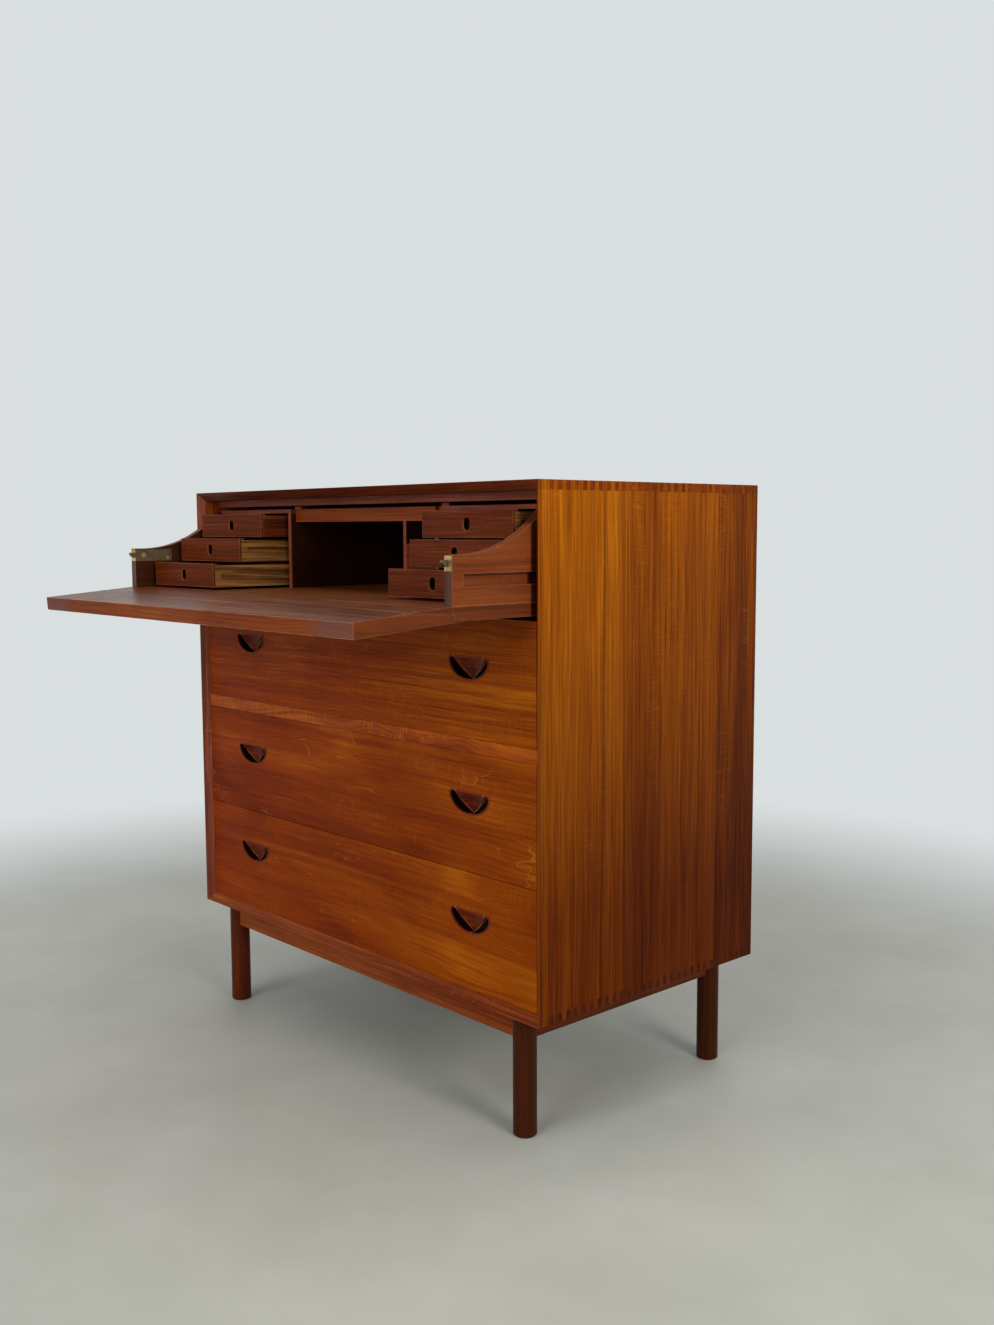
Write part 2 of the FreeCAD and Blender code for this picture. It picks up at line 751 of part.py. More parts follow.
def make_columns():
    """The two stacks' panels and tops, and the open compartment between them."""
    depth = "desk_rear_y - desk_back - column_y"
    inner = "column_half - column_panel"
    notch = box(
        "corner_notch",
        (f"{inner} - notch_inward", "column_y", "column_ceiling"),
        ("column_panel + notch_inward + notch_outward", "guide_setback", "unit_top"))
    tops = []
    for side, word in ((-1, "left"), (1, "right")):
        keep(mirrored_box(
            f"column_panel_{word}", side,
            ("column_half - column_panel", "column_y", "desk_top"),
            ("column_panel", depth, "column_ceiling - desk_top"),
        ), f"column_panel_{word}")
        top = mirrored_box(
            f"column_top_{word}", side, (inner, "column_y", "column_ceiling"),
            (f"wing_inner - ({inner})", depth, "unit_top"))
        if side > 0:
            top = cut("column_top_notched", top, notch)
        # A low block on each stack keeps the drawer from tipping up under the kicker
        guide = mirrored_box(
            f"tip_guide_{word}", side,
            ("column_half - column_panel / 2 - guide_width / 2", "column_y + guide_setback",
             "unit_level"),
            ("guide_width", "guide_depth", "unit_drop - kicker_height - guide_play"))
        tops += [top, guide]
    keep(group("column_tops", *tops), "column_tops")
    keep(box(
        "desk_back", ("0 - wing_inner", "desk_rear_y - desk_back", "desk_top"),
        ("2 * wing_inner", "desk_back", "unit_level - desk_top")), "desk_back")

    fascia_y = "column_y + rail_setback"
    blank = box(
        "compartment_rail_blank",
        (f"0 - ({inner})", fascia_y, "unit_level - fascia_height"),
        (f"2 * ({inner})", "fascia_thickness", "fascia_height"))
    keep(cut("compartment_rail", blank, notch), "compartment_rail")
    keep(box(
        "compartment_top",
        (f"0 - ({inner})", f"{fascia_y} + fascia_thickness", "column_ceiling"),
        (f"2 * ({inner})", f"{depth} - rail_setback - fascia_thickness", "unit_top"),
    ), "compartment_top")

    stand = box(
        "compartment_partition_blank",
        ("partition_place", fascia_y, "desk_top"),
        ("partition_thickness", f"{depth} - rail_setback", "column_ceiling - desk_top"))
    keep(cut("compartment_partition", stand, blank), "compartment_partition")
    keep(box(
        "pen_board",
        ("partition_place + partition_thickness", fascia_y, "desk_top"),
        (f"{inner} - partition_place - partition_thickness", "low_board_thickness",
         "low_board_height")), "pen_board")


# Small drawers, three in each stack, each pulled out by a size of its own

TRAY_LEVELS = ["low", "middle", "high"]


def slot_outline(radius, depth):
    """An upright round-ended slot about the origin, at a depth behind the front's face."""
    half = (at.finger_hole_height - at.finger_hole_width) / 2
    edges = []
    for side in (1, -1):
        start = Vector(-side * radius, depth, side * half)
        crown = Vector(0, depth, side * (half + radius))
        end = Vector(side * radius, depth, side * half)
        edges.append(Part.Arc(start, crown, end).toShape())
        edges.append(Part.LineSegment(end, Vector(end.x, depth, -end.z)).toShape())
    return Part.Wire(edges)


def finger_hole():
    """What a finger hole takes out of a front, with an eased rim at the face."""
    radius = at.finger_hole_width / 2
    hole = Part.Face(slot_outline(radius, 0)).extrude(Vector(0, at.tray_front, 0))
    rim = Part.makeLoft([slot_outline(radius + at.finger_rim, 0),
                         slot_outline(radius, at.finger_rim)], True, True)
    return hole.fuse(rim).removeSplitter()


def make_tray(hand, level):
    """One small drawer: teak front with a finger hole, and a light box behind it."""
    side = -1 if hand == "left" else 1
    word = TRAY_LEVELS[level]
    pulled = f"{hand}_{word}_out"
    name = f"small_drawer_{hand}_{word}"
    low = f"tray_floor + {level} * tray_pitch"
    face = f"column_y - {pulled}"
    behind = f"{face} + tray_front"

    blank = mirrored_box(f"{name}_blank", side, ("tray_inner", face, low),
                         ("tray_width", "tray_front", "tray_height"))
    hole = feature(f"{name}_hole", finger_hole())
    hole.Placement = Placement(Vector(
        side * (at.tray_inner + at.tray_width / 2),
        at.column_y - float(sizes_sheet.get(pulled)),
        at.tray_floor + level * at.tray_pitch + at.tray_height / 2), Rotation())

    floor = mirrored_box(
        f"{name}_floor", side,
        ("tray_inner + tray_side - tray_bottom_groove", behind + " - tray_bottom_groove",
         f"{low} + tray_bottom"),
        ("tray_width - 2 * (tray_side - tray_bottom_groove)",
         "tray_length - tray_front + tray_bottom_groove", "tray_bottom"))

    walls = []
    pieces = [floor]
    wall_height = "tray_height - tray_rim_drop"
    for place, end in (("tray_inner", "inner"),
                       ("tray_inner + tray_width - tray_side", "outer")):
        wall = mirrored_box(f"{name}_{end}_blank", side, (place, f"{behind} - tray_lap", low),
                            ("tray_side", "tray_length - tray_front + tray_lap", wall_height))
        walls.append(wall)
        start = "tray_inner - tray_side"
        if end == "outer":
            start = "tray_inner + tray_width - tray_runner_grip - tray_play"
        groove = mirrored_box(
            f"{name}_{end}_groove", side,
            (start, f"{face} + tray_groove_setback",
             f"{low} + tray_height / 2 - tray_runner_height / 2 - tray_play"),
            ("tray_side + tray_runner_grip + tray_play", "tray_length",
             "tray_runner_height + 2 * tray_play"))
        pieces.append(cut(f"{name}_{end}", wall, groove, floor))
    pieces.append(mirrored_box(
        f"{name}_back", side,
        ("tray_inner + tray_side", f"{face} + tray_length - tray_side",
         f"{low} + 2 * tray_bottom"),
        ("tray_width - 2 * tray_side", "tray_side", f"{wall_height} - 2 * tray_bottom")))
    keep(group(f"{name}_box", *pieces), f"{name}_box")
    keep(cut(f"{name}_front", blank, hole, floor, *walls), f"{name}_front")


def make_tray_runners():
    """The strips that the small drawers hang on, two to a drawer."""
    strips = []
    for side, hand in ((-1, "left"), (1, "right")):
        for level in range(len(TRAY_LEVELS)):
            height = (f"tray_floor + {level} * tray_pitch + tray_height / 2"
                      " - tray_runner_height / 2")
            for place, end in (("column_half", "inner"),
                               ("wing_inner - tray_gap - tray_runner_grip", "outer")):
                strips.append(mirrored_box(
                    f"tray_runner_{hand}_{level}_{end}", side,
                    (place, "column_y + tray_groove_setback + tray_play", height),
                    ("tray_gap + tray_runner_grip",
                     "desk_rear_y - desk_back - column_y - tray_groove_setback - tray_play",
                     "tray_runner_height")))
    keep(group("small_drawer_runners", *strips), "small_drawer_runners")


# Fall flap

def make_flap():
    """The flap, a little below level, with its lip under the desk board, and its hinges."""
    droop = Rotation(Vector(1, 0, 0), at.flap_droop)
    axis = Vector(0, at.axis_y, at.axis_level)

    def place_on_flap(shape):
        """Move a shape made about the hinge axis, with the flap level, to where it rests."""
        moved = shape.copy()
        moved.Placement = Placement(axis, droop).multiply(moved.Placement)
        return moved

    slab = place_on_flap(solid_box(
        (-at.box_half, -at.flap_reach, at.hinge_depth - at.flap_thickness),
        (at.box_half, at.flap_tail, at.hinge_depth)))
    # What the desk board and a small gap take out of the slab, which leaves the lip
    joint_y = at.wing_y - at.flap_joint_gap
    lip_level = at.desk_under + at.lip_rebate - at.flap_joint_gap
    slope = at.joint_slant / (at.desk_board - at.lip_rebate)
    over = at.desk_top + CUT_OVER
    board_room = prism_x([
        (joint_y - slope * CUT_OVER, over),
        (joint_y + slope * (at.desk_top - lip_level), lip_level),
        (joint_y + at.desk_board + CUT_OVER, lip_level),
        (joint_y + at.desk_board + CUT_OVER, over),
    ], -at.case_half, at.case_half)
    body = slab.cut(board_room)

    eye_room = at.arm_eye_radius + at.arm_play
    deep = at.arm_drop + at.arm_height - at.hinge_depth + 4 * at.arm_play
    pins = []
    for number in (-1, 0, 1):
        middle = number * at.hinge_spacing
        half = at.arm_thickness / 2 + at.arm_play
        body = body.cut(place_on_flap(solid_box(
            (middle - half, -eye_room, -deep),
            (middle + half, at.flap_tail, at.flap_thickness))))
        pin = place_on_flap(Part.makeCylinder(
            at.pin_radius, at.pin_length, Vector(middle - at.pin_length / 2, 0, 0),
            Vector(1, 0, 0)))
        body = body.cut(pin)
        pins.append(pin)

    reach = at.latch_level - at.axis_level
    bolt_x = at.wing_inner + at.plate_thickness + at.bolt_play + at.bolt_width / 2
    strikes = []
    for side in (-1, 1):
        x = side * bolt_x
        hole_half = at.bolt_width / 2 + at.strike_play
        hole_reach = at.bolt_height / 2 + at.strike_play
        hole_deep = at.bolt_nose - at.hinge_depth + at.strike_play
        hole = place_on_flap(solid_box(
            (x - hole_half, -reach - hole_reach, at.hinge_depth - hole_deep),
            (x + hole_half, -reach + hole_reach, at.hinge_depth)))
        plate = place_on_flap(solid_box(
            (x - at.strike_width / 2, -reach - at.strike_height / 2,
             at.hinge_depth - at.plate_thickness),
            (x + at.strike_width / 2, -reach + at.strike_height / 2, at.hinge_depth)))
        body = body.cut(hole).cut(plate)
        strikes.append(plate.cut(hole))
    keep(feature("fall_flap", body), "fall_flap")
    keep(feature("hinge_pins", Part.makeCompound(pins)), "hinge_pins")
    keep(feature("flap_strikes", Part.makeCompound(strikes)), "flap_strikes")


def make_hinge_arms():
    """Brass arms fast in the desk board, each with an eye round the flap's pin."""
    arms = []
    top = at.desk_top - at.arm_drop
    bottom = top - at.arm_height
    for number in (-1, 0, 1):
        low_x = number * at.hinge_spacing - at.arm_thickness / 2
        axis = Vector(low_x, at.axis_y, at.axis_level)
        eye = Part.makeCylinder(at.arm_eye_radius, at.arm_thickness, axis, Vector(1, 0, 0))
        neck = prism_x([
            (at.axis_y, at.axis_level + at.arm_eye_radius / 2),
            (at.axis_y - at.arm_eye_radius / 2, at.axis_level - at.arm_eye_radius / 2),
            (at.wing_y, bottom),
            (at.wing_y + at.arm_reach, bottom),
            (at.wing_y + at.arm_reach, top),
            (at.wing_y + at.hinge_depth, top),
        ], low_x, low_x + at.arm_thickness)
        hole = Part.makeCylinder(at.pin_radius + at.pin_play, at.arm_thickness, axis,
                                 Vector(1, 0, 0))
        arms.append(eye.fuse(neck).cut(hole).removeSplitter())
    keep(feature("hinge_arms", Part.makeCompound(arms)), "hinge_arms")


make_case()
make_base()
for drawer_word in ("lower", "middle", "upper"):
    make_drawer(drawer_word, f"{drawer_word}_row")
make_desk_board()
make_wings()
make_bolts()
make_columns()
for hand in ("left", "right"):
    for level in range(len(TRAY_LEVELS)):
        make_tray(hand, level)
make_tray_runners()
make_hinge_arms()
make_flap()

doc.recompute()

for thing in doc.Objects:
    if "Invalid" in thing.State or "Error" in thing.State:
        raise RuntimeError(f"{thing.Label} did not recompute: {thing.State}")
for thing in nodes:
    if thing.Shape.isNull() or not thing.Shape.isValid():
        raise RuntimeError(f"{thing.Label} has no valid shape")
    if not thing.Shape.Solids:
        raise RuntimeError(f"{thing.Label} has no solid")

os.makedirs("parts", exist_ok=True)
for thing in nodes:
    thing.Shape.exportStep(os.path.join("parts", f"{thing.Label}.step"))
print(len(nodes), "sub-parts written")
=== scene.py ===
import math

import bpy
from mathutils import Matrix, Vector


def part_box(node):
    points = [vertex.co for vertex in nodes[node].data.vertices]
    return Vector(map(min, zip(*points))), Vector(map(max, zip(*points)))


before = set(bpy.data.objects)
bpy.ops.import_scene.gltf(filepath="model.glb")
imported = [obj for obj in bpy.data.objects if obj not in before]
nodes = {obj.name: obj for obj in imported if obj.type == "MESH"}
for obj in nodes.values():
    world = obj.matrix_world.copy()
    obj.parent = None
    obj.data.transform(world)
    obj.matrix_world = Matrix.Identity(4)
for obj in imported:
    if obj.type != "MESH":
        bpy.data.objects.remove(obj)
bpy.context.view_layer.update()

scene = bpy.context.scene

AXES = {"X": 0, "Y": 1, "Z": 2}

# How far a face's normal has to point along an axis, for faces that may slant a lot,
# for those that are turned mostly that way and for those that are square to it
SLANTED = 0.2
TURNED = 0.5
SQUARE = 0.9


# Material nodes

class Graph:
    """Builds a material's nodes, and links what it is given to their inputs."""

    def __init__(self, name):
        self.material = bpy.data.materials.new(name)
        self.material.use_nodes = True
        self.tree = self.material.node_tree
        self.shader = self.tree.nodes["Principled BSDF"]
        self.place = self.add("ShaderNodeTexCoord").outputs["Object"]

    def add(self, kind, **settings):
        node = self.tree.nodes.new(kind)
        for key, value in settings.items():
            setattr(node, key, value)
        return node

    def feed(self, socket, value):
        if isinstance(value, bpy.types.NodeSocket):
            self.tree.links.new(value, socket)
        else:
            socket.default_value = value

    def math(self, operation, a, b=0.0, c=0.0, clamp=False):
        node = self.add("ShaderNodeMath", operation=operation, use_clamp=clamp)
        for socket, value in zip(node.inputs, (a, b, c)):
            self.feed(socket, value)
        return node.outputs[0]

    def vector_math(self, operation, a, b, output="Vector"):
        node = self.add("ShaderNodeVectorMath", operation=operation)
        for socket, value in zip(node.inputs, (a, b)):
            self.feed(socket, value)
        return node.outputs[output]

    def split(self, vector):
        node = self.add("ShaderNodeSeparateXYZ")
        self.feed(node.inputs[0], vector)
        return node.outputs

    def join(self, x, y, z):
        node = self.add("ShaderNodeCombineXYZ")
        for socket, value in zip(node.inputs, (x, y, z)):
            self.feed(socket, value)
        return node.outputs[0]

    def noise(self, vector, scale, detail=2.0, rough=0.5, distort=0.0):
        node = self.add("ShaderNodeTexNoise")
        self.feed(node.inputs["Vector"], vector)
        node.inputs["Scale"].default_value = scale
        node.inputs["Detail"].default_value = detail
        node.inputs["Roughness"].default_value = rough
        node.inputs["Distortion"].default_value = distort
        return node.outputs[0]

    def between(self, value, low, high, to_low=0.0, to_high=1.0, smooth=False):
        """How far a value has gone from low to high, given from to_low to to_high."""
        node = self.add("ShaderNodeMapRange")
        node.interpolation_type = "SMOOTHSTEP" if smooth else "LINEAR"
        for socket, content in zip(node.inputs, (value, low, high, to_low, to_high)):
            self.feed(socket, content)
        return node.outputs[0]

    def off(self, value, centre):
        """How far a value is from a centre, on either side."""
        return self.math("ABSOLUTE", self.math("SUBTRACT", value, centre))

    def ramp(self, value, places, colours):
        node = self.add("ShaderNodeValToRGB")
        self.feed(node.inputs[0], value)
        points = node.color_ramp.elements
        while len(points) < len(colours):
            points.new(0.5)
        for point, place, colour in zip(points, places, colours):
            point.position = place
            point.color = (*colour, 1.0)
        return node.outputs[0]

    def mix(self, kind, amount, a, b):
        node = self.add("ShaderNodeMix", data_type="RGBA", blend_type=kind)
        colours = [socket for socket in node.inputs if socket.type == "RGBA"]
        self.feed(node.inputs[0], amount)
        for socket, value in zip(colours, (a, b)):
            if not isinstance(value, bpy.types.NodeSocket) and len(value) == 3:
                value = (*value, 1.0)
            self.feed(socket, value)
        return [socket for socket in node.outputs if socket.type == "RGBA"][0]

    def bump(self, height, strength, distance):
        node = self.add("ShaderNodeBump")
        node.inputs["Strength"].default_value = strength
        node.inputs["Distance"].default_value = distance
        self.feed(node.inputs["Height"], height)
        self.feed(self.shader.inputs["Normal"], node.outputs[0])


def linear(red, green, blue):
    """A colour as seen on a screen, from 0 to 255, as the shaders take it."""
    parts = [value / 255 for value in (red, green, blue)]
    return tuple(p / 12.92 if p <= 0.04045 else ((p + 0.055) / 1.055) ** 2.4 for p in parts)


# Places on the object that the looks refer to, in metres

# The case: its front edges, its sides' height, where the painted shade low on its sides is
# darkest, and its boards
CASE_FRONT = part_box("side_panel_right")[0][1]
CASE_BOTTOM, CASE_TOP = (corner[2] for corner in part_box("side_panel_right"))
DARKEST_SHARE = 0.2
DARKEST_LEVEL = CASE_BOTTOM + DARKEST_SHARE * (CASE_TOP - CASE_BOTTOM)
BOARD = 0.014

# Places along Y between which painted shadow of the case's side darkens the desk drawer's
# wood towards the inside of the case
CASE_SHADOW_SPAN = (CASE_FRONT - 0.001, CASE_FRONT + 0.003)

# Places along X: where the drawer fronts are reddest and where they are most golden, and
# where the flap's front edge starts to dull and where it is dullest
FRONT_SPAN = (-0.45, 0.35)
FLAP_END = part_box("fall_flap")[1][0]
DULL_FLAP = (FLAP_END - 0.12, FLAP_END - 0.05)

# The wings: their faces, the painted shadow line along the top of their groove, under its
# upper wall, and the least area of the groove's upright face
WING_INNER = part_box("wing_right")[0][0]
WING_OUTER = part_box("wing_right")[1][0]
GROOVE_SHADOW_LINE = 0.0035
GROOVE_AREA = 0.001
MARGIN = 0.001

# The most that a normal points up or down on the flap's edges, and how it points on the
# faces within reach of a finger hole's middle
FLAP_FACE = 0.6
HOLE_REACH = 0.012
HOLE_WALL = 0.95
HOLE_RIM = -0.3

# The half-moon pulls: their face, their distance from the middle, and their tongue's outline
PULL_HALF = 0.0455
PULL_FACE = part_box("drawer_lower_pulls")[0][1]
PULL_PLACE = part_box("drawer_lower_pulls")[1][0] - PULL_HALF
PULL_DROP = 0.0336
TONGUE_HALF = 0.0334
TONGUE_BOW = 0.0196

# How deep in a pull the rim's abrasion and painted highlight end, the pockets darken with
# painted shade and the painted highlights on the tongue's arrises end
RIM_DEPTHS = (0.0005, 0.0002)
POCKET_DEPTHS = (0.001, 0.005)
TONGUE_DEPTH = 0.0106
TONGUE_ARRIS_WIDTHS = (0.0013, 0.0005)


# Wood

# The grain's features: how many a metre along it and across it, detail, roughness, distortion
SWIRL = (2.2, 5.5, 2.0, 0.55, 0.6)
BANDS = (0.5, 34.0, 2.0, 0.6)
LINES = (2.6, 190.0, 2.0, 0.6)
THREADS = (11.0, 520.0, 1.0, 0.5)
CLOUD = (2.4, 7.0, 3.0, 0.55, 0.9)
VEINS = (0.8, 88.0, 1.0, 0.5)
PORES = (70.0, 1300.0, 1.0, 0.5)
RAYS = (300.0, 42.0, 2.0, 0.6, 0.5)
RAY_PATCHES = (4.0, 15.0, 1.0)
SCUFFS = (3.5, 330.0, 1.0, 0.5)
POOLS = (6.0, 17.0, 3.0, 0.55, 0.3)
POOL_PATCHES = (5.0, 9.0, 1.0)

# The value at which each feature starts to show, and the one at which it shows in full
VEIN_SHOWS = (0.40, 0.33)
PORE_SHOWS = (0.37, 0.28)
RAY_SHOWS = (0.53, 0.68)
RAY_PATCH_SHOWS = (0.5, 0.66)
SCUFF_SHOWS = (0.60, 0.70)
POOL_PATCH_SHOWS = (0.53, 0.60)
POOL_RIM_SHOWS = (0.008, 0.0)
END_GRAIN_SHOWS = (0.75, 0.95)
ARRIS_SHOWS = (0.985, 0.90)
ARRIS_PATCH_SHOWS = (0.35, 0.6)

# How far these features' noise is moved, so that they don't follow the others
VEIN_SHIFT = 0.37
SCUFF_SHIFT = 0.83
POOL_SHIFT = 0.41
POOL_PATCH_SHIFT = 0.67
BOARD_SHIFT = 3.7

# How much the figure bends the lines, and how much each feature changes the tone
FIGURE_BEND = 0.22
LEAST_BEND = 0.006
BAND_SHARE = 0.45
LINE_SHARE = 0.85
THREAD_SHARE = 0.75
CLOUD_SHARE = 2.2

# How strongly each feature is laid over the colour, where it is at its strongest
VEIN_STRENGTH = 0.55
PORE_STRENGTH = 0.4
END_GRAIN_STRENGTH = 0.85
DULL_STRENGTH = 0.6
RIM_STRENGTH = 0.6
POCKET_STRENGTH = 0.97
TONGUE_STRENGTH = 0.7

# The places of the four tones, the tone without any feature, and the outline of the pools
TONE_PLACES = (0.08, 0.36, 0.62, 0.95)
MIDDLE_TONE = 0.52
POOL_LEVEL = 0.52

# The pale arrises, partly abrasion and partly painted highlight: how wide they are, and the
# noise by which some are paler than others
ARRIS_RADIUS = 0.0016
ARRIS_PATCHES = (45.0, 2.0, 0.6)
LEAST_ARRIS_PATCH = 0.35

# The surface: noise of handling and what it does to the roughness, and the relief
HANDLED = (7.0, 3.0, 0.6)
HANDLED_SHOWS = (0.3, 0.7)
SMOOTHER, ROUGHER = 0.05, 0.07
PORE_ROUGHNESS = 0.2
LINE_RELIEF = 0.45
PORE_RELIEF = 0.55
WOOD_RELIEF = (0.14, 0.0004)

# Tints, which multiply the wood's own colour
PORE_TINT = (0.34, 0.22, 0.14)
END_GRAIN_TINT = (0.56, 0.50, 0.66)
# Painted shade low on the case's sides
LOW_SHADE_TINT = (0.33, 0.22, 0.25)
JOINT_TINT = (0.84, 0.76, 0.85)
RED_TINT = (0.88, 0.72, 0.30)
GOLDEN_TINT = (1.02, 1.24, 1.0)
# Painted shadow of the case's side
CASE_SHADOW_TINT = (0.34, 0.25, 0.25)
SHEEN_TINT = (1.0, 0.58, 0.26, 1.0)

# Colours that cover the wood's own
SCUFF_COLOUR = linear(172, 122, 88)
STAIN_COLOUR = linear(176, 104, 34)
DULL_COLOUR = linear(96, 66, 60)
# Pale arrises, partly abrasion and partly painted highlight
ARRIS_WEAR_AND_HIGHLIGHT = linear(186, 136, 106)
# A pull's rim, paler with abrasion and a painted highlight
RIM_WEAR_AND_HIGHLIGHT = linear(116, 54, 30)
# Painted highlight on the arrises of a pull's tongue
TONGUE_HIGHLIGHT = linear(176, 112, 84)
# Painted shade in the pulls' pockets
POCKET_SHADE = (0.004, 0.002, 0.001)


class Wood(Graph):
    """The material of a wood: each method lays one more feature over the colour so far."""

    def __init__(self, name, tones, along, across, seed, staves):
        super().__init__(name)
        self.tones = tones
        self.along = AXES[along]
        parts = self.split(self.place)
        self.x, self.y, self.z = parts
        self.width = parts[AXES[across]]
        self.depth = parts[({0, 1, 2} - {self.along, AXES[across]}).pop()]
        self.length = self.math("ADD", parts[self.along], seed)
        # Each glued board has its own grain and tone
        self.tone = 0.0
        for place, change in staves:
            past = self.math("GREATER_THAN", self.width, place)
            self.tone = self.math("MULTIPLY_ADD", past, change, self.tone)
            self.length = self.math("MULTIPLY_ADD", past, BOARD_SHIFT, self.length)

    def grain(self, along_scale, across_scale, detail=2.0, rough=0.5, distort=0.0, place=None,
              depth_share=0.6):
        """Noise drawn out along the grain."""
        vector = self.join(
            self.math("MULTIPLY", self.length, along_scale),
            self.math("MULTIPLY", self.width if place is None else place, across_scale),
            self.math("MULTIPLY", self.depth, across_scale * depth_share))
        return self.noise(vector, 1.0, detail, rough, distort)

    def lay(self, kind, amount, colour):
        self.colour = self.mix(kind, amount, self.colour, colour)

    def draw_figure(self, figure, streak, patches):
        """Bands, lines and threads that the figure bends, and clouds of another tone."""
        swirl = self.math("SUBTRACT", self.grain(*SWIRL), 0.5)
        bend = FIGURE_BEND * figure + LEAST_BEND
        self.bent = self.math("MULTIPLY_ADD", swirl, bend, self.width)
        self.lines = self.grain(*LINES, place=self.bent)
        for value, amount in ((self.grain(*BANDS, place=self.bent), BAND_SHARE * streak),
                              (self.lines, LINE_SHARE * streak),
                              (self.grain(*THREADS, place=self.bent), THREAD_SHARE * streak),
                              (self.grain(*CLOUD), CLOUD_SHARE * patches)):
            change = self.math("SUBTRACT", value, 0.5)
            self.tone = self.math("MULTIPLY_ADD", change, amount, self.tone)
        self.tone = self.math("ADD", self.tone, MIDDLE_TONE, clamp=True)
        self.colour = self.ramp(self.tone, TONE_PLACES, self.tones)

    def draw_pores(self, streak):
        """Thin dark veins, and pores as short dashes."""
        veins = self.grain(*VEINS, place=self.math("ADD", self.bent, VEIN_SHIFT))
        amount = VEIN_STRENGTH * min(streak, 1.0)
        self.lay("MIX", self.math("MULTIPLY", self.between(veins, *VEIN_SHOWS), amount),
                 self.tones[0])
        self.pores = self.grain(*PORES, depth_share=1.0)
        self.pore = self.between(self.pores, *PORE_SHOWS, 0.0, PORE_STRENGTH)
        self.lay("MULTIPLY", self.pore, PORE_TINT)

    def draw_rays(self, fleck):
        """Short pale ticks across the grain, in some places only."""
        rays = self.grain(*RAYS, depth_share=1.0)
        where = self.grain(*RAY_PATCHES)
        ray = self.math("MULTIPLY", self.between(rays, *RAY_SHOWS),
                        self.between(where, *RAY_PATCH_SHOWS))
        self.lay("MIX", self.math("MULTIPLY", ray, fleck), self.tones[3])

    def draw_end_grain(self):
        """End grain is darker and duller."""
        normal = self.split(self.add("ShaderNodeTexCoord").outputs["Normal"])
        facing = self.math("ABSOLUTE", normal[self.along])
        self.end_grain = self.between(facing, *END_GRAIN_SHOWS)
        amount = self.math("MULTIPLY", self.end_grain, END_GRAIN_STRENGTH)
        self.lay("MULTIPLY", amount, END_GRAIN_TINT)

    def draw_scuffs(self, amount):
        """Pale marks of use, which run along the grain."""
        scuffs = self.grain(*SCUFFS, place=self.math("ADD", self.bent, SCUFF_SHIFT))
        mark = self.between(scuffs, *SCUFF_SHOWS)
        self.lay("MIX", self.math("MULTIPLY", mark, amount), SCUFF_COLOUR)

    def draw_stains(self, amount):
        """Thin pale outlines that spilled water has left, in some places only."""
        pools = self.grain(*POOLS, place=self.math("ADD", self.width, POOL_SHIFT))
        rim = self.between(self.off(pools, POOL_LEVEL), *POOL_RIM_SHOWS)
        patches = self.grain(*POOL_PATCHES, place=self.math("ADD", self.width, POOL_PATCH_SHIFT))
        rim = self.math("MULTIPLY", rim, self.between(patches, *POOL_PATCH_SHOWS))
        self.lay("MIX", self.math("MULTIPLY", rim, amount), STAIN_COLOUR)

    def dull_ends(self, start, end):
        """Greyer wood towards both ends of a long board."""
        dull = self.between(self.math("ABSOLUTE", self.x), start, end, smooth=True)
        self.lay("MIX", self.math("MULTIPLY", dull, DULL_STRENGTH), DULL_COLOUR)

    # Painted shade: the wood darkens towards the bottom, as light from above falls off
    def paint_low_shade(self, darkest, clear):
        self.lay("MULTIPLY", self.between(self.z, clear, darkest), LOW_SHADE_TINT)

    def darken_joints(self, level):
        self.lay("MULTIPLY", self.math("GREATER_THAN", self.z, level), JOINT_TINT)

    def redden(self, red, golden):
        tint = self.mix("MIX", self.between(self.x, red, golden), RED_TINT, GOLDEN_TINT)
        self.lay("MULTIPLY", 1.0, tint)

    # Painted shadow: the wood darkens where it lies inside the case, in the shade of its side
    def paint_case_shadow(self, start, end):
        self.lay("MULTIPLY", self.between(self.y, start, end), CASE_SHADOW_TINT)

    def pale_worn_and_lit_arrises(self, amount):
        """Pale arrises, where a rounded surface would turn away from the flat one: partly
        abraded, partly a painted highlight.
        """
        rounded = self.add("ShaderNodeBevel", samples=4)
        rounded.inputs["Radius"].default_value = ARRIS_RADIUS
        flat = self.add("ShaderNodeNewGeometry").outputs["True Normal"]
        alike = self.vector_math("DOT_PRODUCT", rounded.outputs[0], flat, "Value")
        patchy = self.between(self.noise(self.place, *ARRIS_PATCHES), *ARRIS_PATCH_SHOWS, LEAST_ARRIS_PATCH)
        arris = self.math("MULTIPLY", self.between(alike, *ARRIS_SHOWS), patchy)
        self.lay("MIX", self.math("MULTIPLY", arris, amount), ARRIS_WEAR_AND_HIGHLIGHT)

    def paint_pull_shade_and_highlights(self, top):
        """A pull's rim, paler with abrasion and a painted highlight, its pockets, black with
        painted shade, and the arrises of its tongue, pale with painted highlights.
        """
        # The rim is paler, with abrasion and a painted highlight
        rim_wear_and_highlight = self.between(self.y, *(PULL_FACE + depth for depth in RIM_DEPTHS))
        self.lay("MIX", self.math("MULTIPLY", rim_wear_and_highlight, RIM_STRENGTH), RIM_WEAR_AND_HIGHLIGHT)
        # The tongue narrows to its tip in two bowed lines
        down = self.math("DIVIDE", self.math("SUBTRACT", top, self.z), PULL_DROP)
        half = self.math("MULTIPLY", self.math("SUBTRACT", 1.0, down),
                         self.math("MULTIPLY_ADD", down, TONGUE_BOW, TONGUE_HALF))
        aside = self.off(self.math("ABSOLUTE", self.x), PULL_PLACE)
        # Painted shade: the pockets beside the tongue go black with depth
        pocket_shade = self.math("MULTIPLY", self.math("GREATER_THAN", aside, half),
                           self.between(self.y, *(PULL_FACE + d for d in POCKET_DEPTHS)))
        self.lay("MIX", self.math("MULTIPLY", pocket_shade, POCKET_STRENGTH), POCKET_SHADE)
